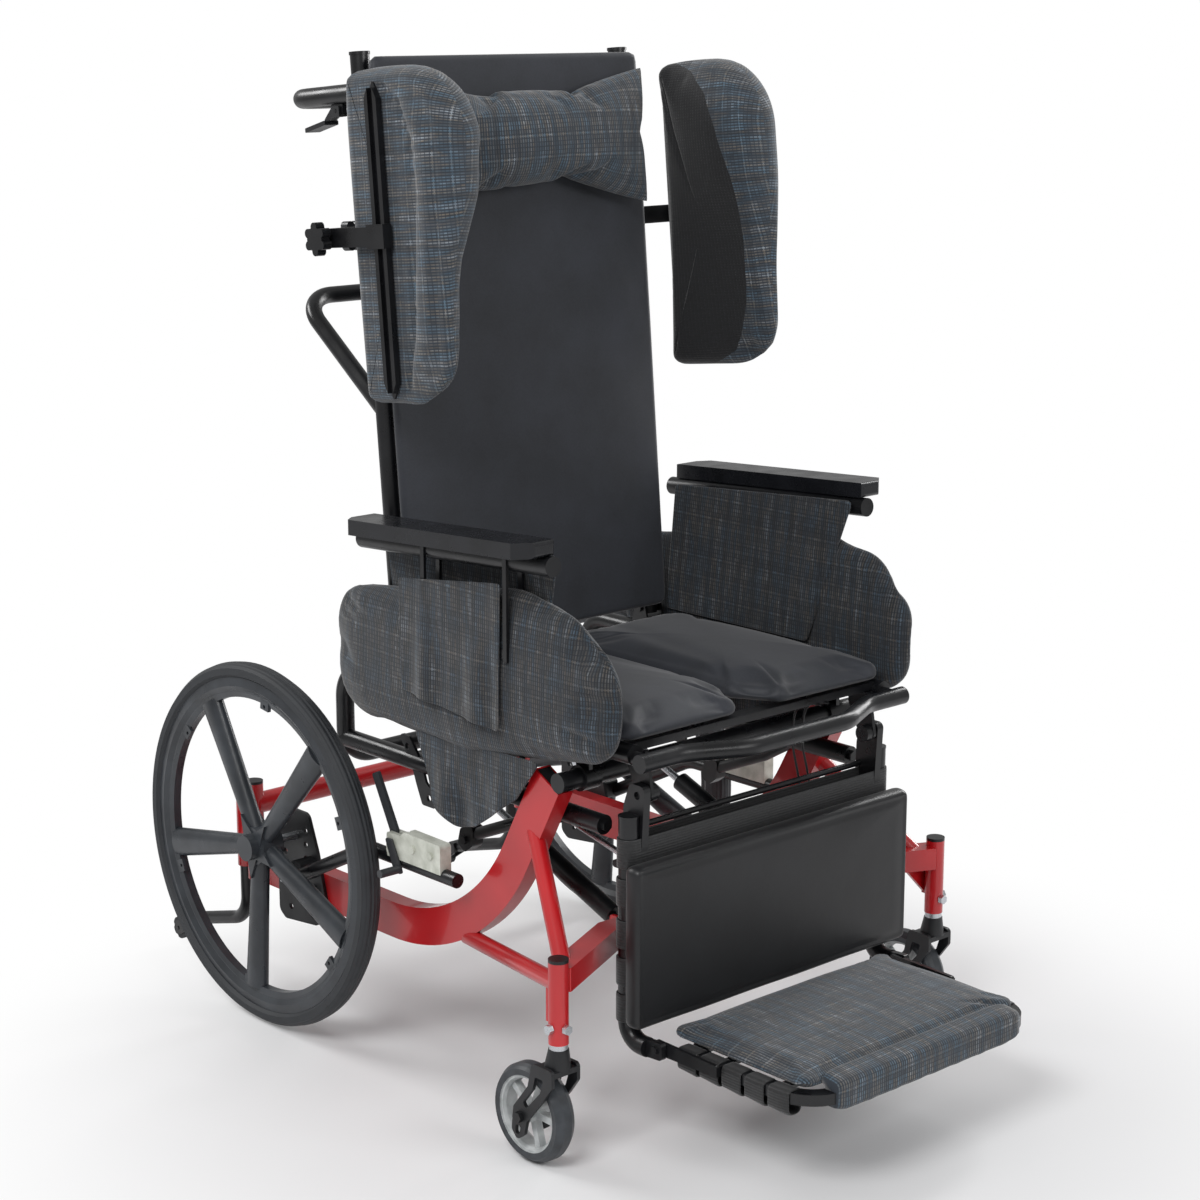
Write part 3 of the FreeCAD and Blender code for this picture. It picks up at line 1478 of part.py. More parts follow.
# Gas springs and cables
def spring_parts(fixed_eye, rod_eye, cylinder_radius, rod_radius, cylinder_length, rod_inside):
    along = (rod_eye - fixed_eye).normalize()
    length = (rod_eye - fixed_eye).Length
    cylinder = rod(fixed_eye + along * 12, along, cylinder_radius, cylinder_length - 12)
    eye = rod(fixed_eye - ALONG_X * 5, ALONG_X, 8, 10)
    neck = rod(fixed_eye, along, 5, 14)
    cylinder = fused([cylinder, eye, neck])
    cylinder = cylinder.cut(
        rod(fixed_eye + along * 20, along, rod_radius + running_clearance, cylinder_length)
    )
    slider_start = cylinder_length - rod_inside
    slider = rod(fixed_eye + along * slider_start, along, rod_radius, length - slider_start - 6)
    far_eye = rod(rod_eye - ALONG_X * 5, ALONG_X, 8, 10)
    return cylinder, fused([slider, far_eye])


def control_cables():
    # Two thin release cables: held under the seat's front bar, then down in front of the spring
    cables = []
    held_z = seat_z + 1 - cable_radius - soft_clearance / 2
    for x, y in ((112, 54), (126, 50)):
        points = [
            Vector(x, 2, held_z),
            Vector(x, y - 6, held_z),
            Vector(x + 3, y + 4, 440),
            Vector(x + 8, y - 2, 404),
            Vector(x + 10, y - 8, 372),
        ]
        cables.append(tube(points, cable_radius, 18))
    return cables


# The pieces, one file each
def build_base():
    for side in ("r", "l"):
        save(f"side_rail_{side}", [on_side(side_rail(), side)])
    save("rear_frame", [rear_frame()])
    cylinder, slider = spring_parts(tilt_base_eye, tilt_seat_eye, 13, 5, 215, 82)
    front = [fused([front_cross_tube()] + both_sides(spring_bracket()))]
    for piece in (largest(upright()), largest(brace())):
        front += both_sides(piece)
    save("front_frame", front)
    save("stem_housings", both_sides(stem_housing_clear()))
    save("base_caps", base_caps())
    save("base_hardware", base_hardware())
    save("axle_plates", both_sides(axle_plate()))
    save("lock_arms", both_sides(lock_arm()))
    save("lock_bodies", both_sides(lock_body()))
    save("anti_tip_arms", both_sides(anti_tip_tube()))
    save("pivot_tube", [pivot_tube()])
    save("tilt_cylinders", both_sides(cylinder))
    save("tilt_rods", both_sides(slider))


def stem_housing_clear():
    return largest(stem_housing().cut(front_cross_tube()).cut(brace()).cut(upright()))


def build_wheels():
    for side in ("r", "l"):
        save(f"rear_tyre_{side}", [on_side(rear_tyre(), side)])
        save(f"rear_wheel_{side}", [on_side(rear_wheel(), side)])
        save(f"caster_fork_{side}", [on_side(shape, side) for shape in caster_fork()])
        save(f"caster_wheel_{side}", [on_side(shape, side) for shape in (caster_rim(), caster_tyre())])
        save(f"anti_tip_wheel_{side}", [on_side(anti_tip_wheel(), side)])
        save(f"lock_lever_{side}", [on_side(lock_lever(), side)])


def build_seat():
    save("seat_frame", [seat_frame()])
    for side in ("r", "l"):
        save(f"seat_cushion_{side}", [on_side(seat_cushion(), side)])
        save(f"bolster_{side}", [on_side(shape, side) for shape in (bolster(), bolster_flap(), skirt())])
        save(f"arm_frame_{side}", [on_side(arm_frame(), side)])
        save(f"arm_pad_{side}", [on_side(arm_pad(), side)])
        save(f"arm_panel_{side}", [on_side(arm_panel(), side)])
    save("control_cables", control_cables())


def build_back():
    save("back_frame", [on_back(back_frame())])
    save("push_bars", [on_back(bar) for bar in push_bars()])
    save("back_panel", [on_back(back_panel())])
    save("head_pillow", [on_back(head_pillow())])
    for side in ("r", "l"):
        save(f"wing_pad_{side}", [on_side(on_back(wing_pad()), side)])
        save(f"wing_rail_{side}", [on_side(on_back(wing_rail()), side)])
        save(f"wing_clamp_{side}", [on_side(on_back(wing_clamp()), side)])
        save(f"wing_knob_{side}", [on_side(on_back(wing_knob()), side)])
        save(f"release_lever_{side}", [on_side(on_back(release_lever()), side)])


def build_leg_rest():
    save("legrest_frame", [legrest_frame()])
    save("leg_bands", leg_bands())
    save("calf_pad", [calf_pad()])
    save("foot_frame", [foot_frame()])
    save("foot_cushion", foot_cushion())
    save("foot_loops", foot_loops())
    cylinder, slider = spring_parts(leg_rear_eye, leg_front_eye, 11, 4, 225, 123.75)
    save("leg_cylinder", [cylinder])
    save("leg_rod", [slider])


build_base()
build_wheels()
build_seat()
build_back()
build_leg_rest()
print(f"middle of the chair is {middle_y:.1f} mm behind the caster stems")
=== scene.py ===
import math

import bpy
import numpy as np
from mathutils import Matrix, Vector


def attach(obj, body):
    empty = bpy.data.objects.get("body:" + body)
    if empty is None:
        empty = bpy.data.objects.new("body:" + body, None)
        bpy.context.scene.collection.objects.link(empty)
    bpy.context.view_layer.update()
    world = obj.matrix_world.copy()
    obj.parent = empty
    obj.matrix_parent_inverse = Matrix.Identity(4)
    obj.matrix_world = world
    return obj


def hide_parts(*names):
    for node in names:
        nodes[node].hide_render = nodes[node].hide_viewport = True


# A tilt-in-space wheelchair in a pale studio.
# Lengths in the pieces below are millimetres, measured from the caster stems and
# the floor; at() turns them into the chair's own metres.

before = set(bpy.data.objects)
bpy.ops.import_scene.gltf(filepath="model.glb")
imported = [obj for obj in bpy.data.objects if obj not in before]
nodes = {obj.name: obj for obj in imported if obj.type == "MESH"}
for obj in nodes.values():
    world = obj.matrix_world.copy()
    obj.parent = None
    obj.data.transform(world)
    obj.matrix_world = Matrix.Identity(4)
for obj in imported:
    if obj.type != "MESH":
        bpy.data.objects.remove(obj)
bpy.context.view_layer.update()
scene = bpy.context.scene
scene.view_settings.view_transform = "Standard"

MIDDLE_Y = 336.0
HINGE_Y = 444.0
HINGE_Z = 536.0
LEAN = math.radians(5.0)


def at(x, y, z):
    return Vector((x / 1000, (y - MIDDLE_Y) / 1000, z / 1000))


def at_back(x, u, v):
    # The back leans 5 degrees on its hinge: u runs rearward and v up from there
    y = HINGE_Y + u * math.cos(LEAN) + v * math.sin(LEAN)
    z = HINGE_Z - u * math.sin(LEAN) + v * math.cos(LEAN)
    return at(x, y, z)


def smooth(edge0, edge1, value):
    t = np.clip((value - edge0) / (edge1 - edge0), 0.0, 1.0)
    return t * t * (3 - 2 * t)


# Materials
NOISE_LOW, NOISE_HIGH = 0.3, 0.7
TREAD_DEPTH = 0.009
CASTER_RIM_RADIUS = 0.0486
COLUMN_WIDTH, ROW_WIDTH = 0.0056, 0.0037


def colour(code):
    parts = [int(code[i:i + 2], 16) / 255 for i in (1, 3, 5)]
    linear = [p / 12.92 if p <= 0.04045 else ((p + 0.055) / 1.055) ** 2.4 for p in parts]
    return (*linear, 1.0)


def add(material, kind, inputs=None, **settings):
    # One node with its settings, its values and its links
    tree = material.node_tree
    node = tree.nodes.new(kind)
    for name, value in settings.items():
        setattr(node, name, value)
    for name, value in (inputs or {}).items():
        if isinstance(value, bpy.types.NodeSocket):
            tree.links.new(value, node.inputs[name])
        else:
            node.inputs[name].default_value = value
    return node


def start_material(name, **values):
    material = bpy.data.materials.new(name)
    material.use_nodes = True
    shader = material.node_tree.nodes["Principled BSDF"]
    for key, value in values.items():
        shader.inputs[key.replace("_", " ")].default_value = value
    place = add(material, "ShaderNodeTexCoord")
    return material, shader, place.outputs["Object"], place.outputs["UV"]


def link(material, source, target):
    material.node_tree.links.new(source, target)


def math_node(material, operation, a, b=0.0, c=0.5):
    return add(material, "ShaderNodeMath", {0: a, 1: b, 2: c}, operation=operation).outputs[0]


def vector_node(material, operation, *values):
    return add(material, "ShaderNodeVectorMath", dict(enumerate(values)), operation=operation)


def noise(material, place, scale, detail, **inputs):
    values = {"Vector": place, "Scale": scale, "Detail": detail, **inputs}
    return add(material, "ShaderNodeTexNoise", values).outputs["Fac"]


def chance(material, dimensions, **inputs):
    # A random value for each whole number, or pair of them
    return add(material, "ShaderNodeTexWhiteNoise", inputs, noise_dimensions=dimensions).outputs["Value"]


def remap(material, value, low, high, out_low=0.0, out_high=1.0):
    values = {"Value": value, "From Min": low, "From Max": high, "To Min": out_low, "To Max": out_high}
    return add(material, "ShaderNodeMapRange", values).outputs["Result"]


def stretched(material, place, scale):
    return add(material, "ShaderNodeMapping", {"Vector": place, "Scale": scale}).outputs["Vector"]


def ribbing(material, place, scale, axis):
    settings = {"wave_type": "BANDS", "bands_direction": axis}
    return add(material, "ShaderNodeTexWave", {"Vector": place, "Scale": scale}, **settings).outputs["Fac"]


def mixed(material, share, first, second):
    values = {"Factor": share, "A": first, "B": second}
    return add(material, "ShaderNodeMix", values, data_type="RGBA").outputs["Result"]


def shades(material, factor, stops):
    ramp = add(material, "ShaderNodeValToRGB", {"Fac": factor})
    elements = ramp.color_ramp.elements
    while len(elements) < len(stops):
        elements.new(0.5)
    for element, (position, code) in zip(elements, stops):
        element.position = position
        element.color = colour(code)
    return ramp.outputs["Color"]


def two_shades(material, factor, low, high):
    return shades(material, factor, [(NOISE_LOW, low), (NOISE_HIGH, high)])


def paint(material, shader, shade):
    link(material, shade, shader.inputs["Base Color"])


def bumps(material, shader, height, strength, distance):
    bump = add(material, "ShaderNodeBump", {"Height": height, "Strength": strength, "Distance": distance})
    link(material, bump.outputs["Normal"], shader.inputs["Normal"])
    return bump


def grain(material, shader, place, size_mm, strength, depth_mm, detail=3.0):
    # Fine bumps of a given size all over the surface
    return bumps(material, shader, noise(material, place, 1000 / size_mm, detail), strength, depth_mm / 1000)


def roughness_patches(material, shader, pattern, low, high):
    # Handling marks: some places a little smoother than others
    patches = remap(material, pattern, NOISE_LOW, NOISE_HIGH, low, high)
    link(material, patches, shader.inputs["Roughness"])


def gloss_enamel(name, low, high):
    # Wet-sprayed enamel on steel: a deep even colour under a clear glossy coat,
    # with the faint orange peel that softens its reflections
    material, shader, place, _ = start_material(name, Roughness=0.3, Coat_Weight=0.55, Coat_Roughness=0.08)
    paint(material, shader, two_shades(material, noise(material, place, 9.0, 2.0), low, high))
    grain(material, shader, place, 4.0, 0.12, 0.25)
    return material


def powder_coat(name, low, high, rough_low, rough_high):
    # Powder-coated tube: satin black with a fine pebble that breaks up the highlight
    material, shader, place, _ = start_material(name, Roughness=0.35)
    paint(material, shader, two_shades(material, noise(material, place, 14.0, 3.0), low, high))
    roughness_patches(material, shader, noise(material, place, 1000 / 38.0, 4.0), rough_low, rough_high)
    grain(material, shader, place, 1.4, 0.25, 0.12)
    return material


def brushed_steel(name):
    # Zinc-plated and lightly brushed steel: bright, with short drawn-out streaks
    material, shader, place, _ = start_material(name, Metallic=1.0, Roughness=0.28)
    shader.inputs["Base Color"].default_value = colour("#C9CCD0")
    streaks = noise(material, stretched(material, place, (30.0, 900.0, 900.0)), 1.0, 2.0)
    roughness_patches(material, shader, streaks, 0.2, 0.42)
    return material


def cast_paint(name):
    # Painted casting: a warm silver cream with a rough sand-cast skin
    material, shader, place, _ = start_material(name, Roughness=0.42, Metallic=0.15)
    paint(material, shader, two_shades(material, noise(material, place, 60.0, 4.0), "#B4B7AB", "#DADCD2"))
    grain(material, shader, place, 1.8, 0.35, 0.3)
    return material


def moulded(name, low, high, rough_low, rough_high):
    # Injection-moulded plastic with a fine spark-eroded grain
    material, shader, place, _ = start_material(name, Roughness=0.4)
    paint(material, shader, two_shades(material, noise(material, place, 22.0, 3.0), low, high))
    roughness_patches(material, shader, noise(material, place, 1000 / 30.0, 4.0), rough_low, rough_high)
    grain(material, shader, place, 0.9, 0.2, 0.1)
    return material


def wheel_distance(material, place, centre):
    # Distance from a wheel's axle, which runs along X
    away = vector_node(material, "SUBTRACT", place, tuple(centre)).outputs[0]
    flat = vector_node(material, "MULTIPLY", away, (0.0, 1.0, 1.0)).outputs[0]
    return vector_node(material, "LENGTH", flat).outputs["Value"], away


def tyre_rubber(name, centre, radius):
    # Grey polyurethane tyre: dull tread with fine ribs round it and a smoother sidewall
    material, shader, place, _ = start_material(name, Roughness=0.62)
    distance, away = wheel_distance(material, place, centre)
    sidewall = math_node(material, "LESS_THAN", distance, radius - TREAD_DEPTH)
    worn = math_node(material, "MULTIPLY_ADD", noise(material, place, 40.0, 5.0), 0.6)
    paint(material, shader, shades(material, worn, [(0.0, "#121416"), (0.45, "#1E2023"), (1.0, "#2C2F33")]))
    tread = math_node(material, "SUBTRACT", 1.0, sidewall)
    height = math_node(material, "MULTIPLY", ribbing(material, away, 55.0, "X"), tread)
    bumps(material, shader, height, 0.7, 0.001)
    return material


def caster_finish(name, centre):
    # Pale grey nylon rim inside a dark rubber tyre
    material, shader, place, _ = start_material(name, Roughness=0.45)
    distance, _ = wheel_distance(material, place, centre)
    tyre = math_node(material, "GREATER_THAN", distance, CASTER_RIM_RADIUS)
    tone = noise(material, place, 70.0, 3.0)
    rim = two_shades(material, tone, "#A3A7A8", "#C6C9C9")
    rubber = two_shades(material, tone, "#2A2D31", "#3B3F44")
    paint(material, shader, mixed(material, tyre, rim, rubber))
    grain(material, shader, place, 2.0, 0.25, 0.15)
    return material


def tweed(name, yarns, lining=False):
    # Woven upholstery tweed: pale slubs in short dashes over a slate ground, a fine line
    # every fifth thread and a broad plaid of blue, brown and grey. The threads are drawn
    # about twice as coarse as the cloth's own, so that they show.
    material, shader, place, uv = start_material(name, Roughness=0.88, Sheen_Weight=0.25, Sheen_Roughness=0.5)

    def work(operation, *values):
        return math_node(material, operation, *values)

    def from_middle(value):
        return work("ABSOLUTE", work("SUBTRACT", work("FRACT", value), 0.5))

    parts = add(material, "ShaderNodeSeparateXYZ", {"Vector": uv})
    across = work("MULTIPLY", parts.outputs["X"], 1 / COLUMN_WIDTH)
    along = work("MULTIPLY", parts.outputs["Y"], 1 / ROW_WIDTH)
    column = work("FLOOR", across)
    row = work("FLOOR", along)
    in_column = from_middle(across)
    cell = add(material, "ShaderNodeCombineXYZ", {"X": column, "Y": row})
    luck = chance(material, "2D", Vector=cell.outputs["Vector"])
    column_luck = chance(material, "1D", W=column)
    row_luck = chance(material, "1D", W=row)

    # Dashes of pale slub, with a line down the middle of every fifth column
    dash_length = remap(material, in_column, 0.44, 0.34)
    dash_width = remap(material, from_middle(along), 0.36, 0.16)
    dash = work("MULTIPLY", work("MULTIPLY", dash_length, dash_width), work("MULTIPLY_ADD", luck, 0.45, 0.35))
    fifth = work("LESS_THAN", work("FLOORED_MODULO", column, 5.0), 0.5)
    line = work("MULTIPLY", work("MULTIPLY", fifth, work("LESS_THAN", in_column, 0.13)), 0.75)
    row_band = work("LESS_THAN", work("FLOORED_MODULO", row, 8.0), 1.5)
    quiet = work("SUBTRACT", 1.0, work("MULTIPLY", row_band, 0.6))
    thread = work("MULTIPLY", work("MAXIMUM", dash, line), quiet)

    # Broad stripes dim the threads, and each column keeps a faint tint of its own
    stripes = noise(material, stretched(material, uv, (70.0, 10.0, 1.0)), 1.0, 2.0)
    thread = work("MULTIPLY", thread, remap(material, stripes, NOISE_LOW, NOISE_HIGH, 0.35, 1.0))
    tint = work("MULTIPLY", column_luck, 0.22)
    thread = work("ADD", thread, work("MULTIPLY", tint, dash_width))

    plaid = noise(material, stretched(material, uv, (14.0, 95.0, 1.0)), 1.0, 2.0)
    ground = shades(material, work("MULTIPLY_ADD", row_luck, 0.5), list(zip((0.0, 0.5, 1.0), yarns[:3])))
    yarn = shades(material, plaid, list(zip((0.28, 0.42, 0.55, 0.7), yarns[3:])))
    cloth = mixed(material, thread, ground, yarn)
    bumps(material, shader, dash, 0.55, 0.0008)
    if lining:
        # The wings' smooth black lining, where the mask painted on the mesh says so
        mask = add(material, "ShaderNodeAttribute", attribute_name="lining")
        inside = remap(material, mask.outputs["Fac"], 0.49, 0.51)
        black = two_shades(material, noise(material, place, 300.0, 3.0), "#08080A", "#131418")
        cloth = mixed(material, inside, cloth, black)
    paint(material, shader, cloth)
    return material


def stretch_vinyl(name, low, high, rough, sheen):
    # Coated stretch upholstery: matt charcoal, a fine knitted backing that shows faintly
    # through the coat, and soft broad rubbing marks
    coat = {"Roughness": rough, "Sheen_Weight": sheen, "Sheen_Roughness": 0.45}
    material, shader, place, _ = start_material(name, **coat)
    broad = math_node(material, "MULTIPLY", noise(material, place, 11.0, 4.0, Roughness=0.6), 0.65)
    blend = math_node(material, "MULTIPLY_ADD", noise(material, place, 420.0, 2.0), 0.35, broad)
    paint(material, shader, shades(material, blend, [(0.35, low), (0.65, high)]))
    fine_bump = grain(material, shader, place, 1.1, 0.3, 0.12, 2.0)
    pull = noise(material, place, 26.0, 2.0)
    soft = add(material, "ShaderNodeBump", {"Height": pull, "Strength": 0.25, "Distance": 0.0015})
    link(material, soft.outputs["Normal"], fine_bump.inputs["Normal"])
    return material


def woven_webbing(name):
    # Polyester webbing: black, with narrow ribs along it and a low sheen
    material, shader, place, _ = start_material(name, Roughness=0.5, Sheen_Weight=0.2)
    paint(material, shader, two_shades(material, noise(material, place, 300.0, 2.0), "#0A0A0B", "#1D1E20"))
    bumps(material, shader, ribbing(material, place, 90.0, "Z"), 0.4, 0.0006)
    return material


red_enamel = gloss_enamel("red_enamel", "#A90F16", "#C2161D")
frame_black = powder_coat("black_powder_coat", "#08080A", "#131417", 0.24, 0.4)
plate_black = powder_coat("black_plate_coat", "#0E0F11", "#1B1C1F", 0.34, 0.5)
link_grey = powder_coat("grey_plate_coat", "#26282B", "#3A3C40", 0.35, 0.5)
steel = brushed_steel("zinc_plated_steel")
cast_cream = cast_paint("painted_casting")
cap_plastic = moulded("cap_polyamide", "#0C0D0F", "#18191B", 0.3, 0.45)
arm_plastic = moulded("arm_pad_polyurethane", "#101114", "#1B1C20", 0.2, 0.32)
knob_plastic = moulded("knob_polyamide", "#17181B", "#26282B", 0.28, 0.42)
wheel_nylon = moulded("wheel_glass_filled_nylon", "#26292D", "#383C41", 0.26, 0.38)
tyre_grey = tyre_rubber("wheel_polyurethane_tyre", at(324, 636, 254), 0.254)
caster_pale = caster_finish("caster_rim_and_tyre", at(342, 45, 62.5))
tip_rubber = moulded("anti_tip_rubber", "#141517", "#202225", 0.5, 0.65)
# One tweed in a lit and a shaded copy: the lighter yarns are painted light on the wings, pillow and foot
# cushion, and the darker yarns are painted shade on the bolsters, flaps, pouches and arm panels
LIGHT_PAINTED_YARNS = ("#151A20", "#20262E", "#2B323B", "#85919C", "#4E6A7D", "#736A5E", "#99A3AD")
SHADE_PAINTED_YARNS = ("#0B0D11", "#12161B", "#1B2027", "#65707A", "#34495A", "#574F46", "#7C858E")
tweed_painted_light = tweed("upholstery_tweed", LIGHT_PAINTED_YARNS)
tweed_painted_shade = tweed("upholstery_tweed_painted_shade", SHADE_PAINTED_YARNS)
wing_tweed = tweed("wing_tweed_and_lining", LIGHT_PAINTED_YARNS, lining=True)
seat_vinyl = stretch_vinyl("charcoal_stretch_vinyl", "#1E2127", "#2B2E36", 0.6, 0.25)
calf_vinyl = stretch_vinyl("black_grained_vinyl", "#08080A", "#121316", 0.42, 0.1)
webbing = woven_webbing("polyester_webbing")

finishes = {
    "side_rail_r": red_enamel,
    "side_rail_l": red_enamel,
    "rear_frame": red_enamel,
    "front_frame": red_enamel,
    "stem_housings": red_enamel,
    "base_caps": cap_plastic,
    "base_hardware": steel,
    "axle_plates": plate_black,
    "lock_arms": frame_black,
    "lock_bodies": cast_cream,
    "anti_tip_arms": frame_black,
    "pivot_tube": frame_black,
    "tilt_cylinders": frame_black,
    "tilt_rods": steel,
    "seat_frame": frame_black,
    "control_cables": cap_plastic,
    "back_frame": frame_black,
    "push_bars": frame_black,
    "legrest_frame": frame_black,
    "leg_bands": webbing,
    "foot_frame": frame_black,
    "foot_loops": webbing,
    "leg_cylinder": frame_black,
    "leg_rod": steel,
}
for side in ("r", "l"):
    finishes[f"rear_tyre_{side}"] = tyre_grey
    finishes[f"rear_wheel_{side}"] = wheel_nylon
    finishes[f"caster_fork_{side}"] = plate_black
    finishes[f"caster_wheel_{side}"] = caster_pale
    finishes[f"anti_tip_wheel_{side}"] = tip_rubber
    finishes[f"lock_lever_{side}"] = link_grey
    finishes[f"arm_frame_{side}"] = frame_black
    finishes[f"arm_pad_{side}"] = arm_plastic
    finishes[f"wing_rail_{side}"] = frame_black
    finishes[f"wing_clamp_{side}"] = frame_black
    finishes[f"wing_knob_{side}"] = knob_plastic
    finishes[f"release_lever_{side}"] = plate_black

for name, finish in finishes.items():
    for holder in nodes[name].material_slots:
        holder.material = finish


# Camera, lamps and backdrop
CAMERA_PLACE = (-2.254, -2.511, 1.377)
CAMERA_AIM = Vector((0.656, 0.721, -0.225))
LENS_MM, SENSOR_MM = 77.6, 36.0
WORLD_LIGHT = 0.42
FLOOR_REACH = 9
FLOOR_DROP = 0.0005
FLOOR_MIDDLE = (-0.05, -0.25, 0.0)
FADE_START, FADE_END = 0.45, 1.05

camera_data = bpy.data.cameras.new("camera")
camera = bpy.data.objects.new("camera", camera_data)
scene.collection.objects.link(camera)
camera.location = CAMERA_PLACE
camera.rotation_euler = CAMERA_AIM.to_track_quat("-Z", "Y").to_euler()
camera_data.lens = LENS_MM
camera_data.sensor_width = SENSOR_MM
camera_data.clip_end = 60.0
scene.camera = camera


def lamp(name, place, target, size, power, tint="#FFFFFF"):
    data = bpy.data.lights.new(name, "AREA")
    data.shape = "RECTANGLE"
    data.size, data.size_y = size
    data.energy = power
    data.color = colour(tint)[:3]
    holder = bpy.data.objects.new(name, data)
    holder.location = place
    holder.rotation_euler = (Vector(target) - Vector(place)).to_track_quat("-Z", "Y").to_euler()
    scene.collection.objects.link(holder)


lamp("key_lamp", (-2.6, -1.2, 2.9), (0.0, 0.0, 0.6), (1.6, 1.2), 62.0)
lamp("front_lamp", (0.6, -3.6, 2.2), (0.0, 0.0, 0.6), (1.8, 1.2), 34.0)
lamp("right_strip", (2.6, 0.2, 1.6), (0.2, 0.0, 0.7), (0.5, 2.2), 40.0)
lamp("rear_lamp", (-1.4, 2.6, 2.4), (0.0, 0.2, 0.7), (1.6, 0.8), 40.0)


def studio_world():
    # White where the camera sees it, and dimmer as a light
    world = bpy.data.worlds.new("studio")
    scene.world = world
    world.use_nodes = True
    world.node_tree.nodes.clear()
    rays = add(world, "ShaderNodeLightPath").outputs
    shown = add(world, "ShaderNodeBackground", {"Color": (1, 1, 1, 1), "Strength": 1.0})
    lit = add(world, "ShaderNodeBackground", {"Color": (1, 1, 1, 1), "Strength": WORLD_LIGHT})
    seen = math_node(world, "MAXIMUM", rays["Is Camera Ray"], rays["Is Transmission Ray"])
    mix = add(world, "ShaderNodeMixShader", {0: seen, 1: lit.outputs[0], 2: shown.outputs[0]})
    add(world, "ShaderNodeOutputWorld", {"Surface": mix.outputs[0]})


studio_world()


def new_piece(name, points, faces, finish, sharp=False):
    mesh = bpy.data.meshes.new(name)
    mesh.from_pydata([tuple(p) for p in points], [], faces)
    mesh.update()
    piece = bpy.data.objects.new(name, mesh)
    scene.collection.objects.link(piece)
    for one in finish if isinstance(finish, (list, tuple)) else [finish]:
        mesh.materials.append(one)
    if not sharp:
        mesh.polygons.foreach_set("use_smooth", [True] * len(mesh.polygons))
    return piece


def studio_floor():
    # Pale floor that fades to the white backdrop a little way from the chair
    reach = FLOOR_REACH
    points = [(-reach, -reach, 0), (reach, -reach, 0), (reach, reach, 0), (-reach, reach, 0)]
    material, shader, place, _ = start_material("studio_floor", Roughness=0.9)
    shader.inputs["Specular IOR Level"].default_value = 0.0
    middle = vector_node(material, "SUBTRACT", place, FLOOR_MIDDLE)
    away = vector_node(material, "LENGTH", middle.outputs[0])
    fade = add(
        material,
        "ShaderNodeMapRange",
        {"Value": away.outputs["Value"], "From Min": FADE_START, "From Max": FADE_END},
        interpolation_type="SMOOTHSTEP",
    )
    rays = add(material, "ShaderNodeLightPath")
    glow = add(material, "ShaderNodeEmission", {"Color": (1, 1, 1, 1), "Strength": 1.0})
    shader.inputs["Base Color"].default_value = colour("#E9E9EA")
    seen = math_node(material, "MULTIPLY", fade.outputs["Result"], rays.outputs["Is Camera Ray"])
    mix = add(material, "ShaderNodeMixShader", {0: seen, 1: shader.outputs[0], 2: glow.outputs[0]})
    out = material.node_tree.nodes["Material Output"]
    link(material, mix.outputs[0], out.inputs["Surface"])
    floor = new_piece("studio_floor", points, [(0, 1, 2, 3)], material, sharp=True)
    floor.location.z = -FLOOR_DROP


studio_floor()


# Making of padded forms
CORNER_STEPS = 13
SHARES = (
    0.0, 0.08, 0.17, 0.26, 0.35, 0.44, 0.52, 0.6, 0.67,
    0.74, 0.8, 0.85, 0.9, 0.94, 0.97, 0.99, 1.0,
)
RIM_STEPS = 10
UNDERSIDE_SHIFT = 400


def closed_curve(corners, count):
    # Evenly spaced points on a closed outline of (a, b, corner radius)
    path = []
    total = len(corners)
    for i in range(total):
        here = np.array(corners[i][:2], float)
        before = np.array(corners[i - 1][:2], float) - here
        after = np.array(corners[(i + 1) % total][:2], float) - here
        before_length, after_length = np.linalg.norm(before), np.linalg.norm(after)
        before, after = before / before_length, after / after_length
        turn = math.pi - math.acos(np.clip(before @ after, -1, 1))
        reach = min(corners[i][2] * math.tan(turn / 2), before_length * 0.49, after_length * 0.49)
        start, end = here + before * reach, here + after * reach
        for t in np.linspace(0, 1, CORNER_STEPS):
            path.append(start * (1 - t) ** 2 + here * 2 * t * (1 - t) + end * t * t)
    path = np.array(path)
    path = np.vstack([path, path[:1]])
    lengths = np.concatenate([[0], np.cumsum(np.linalg.norm(np.diff(path, axis=0), axis=1))])
    marks = np.linspace(0, lengths[-1], count, endpoint=False)
    return np.column_stack([np.interp(marks, lengths, path[:, k]) for k in (0, 1)])


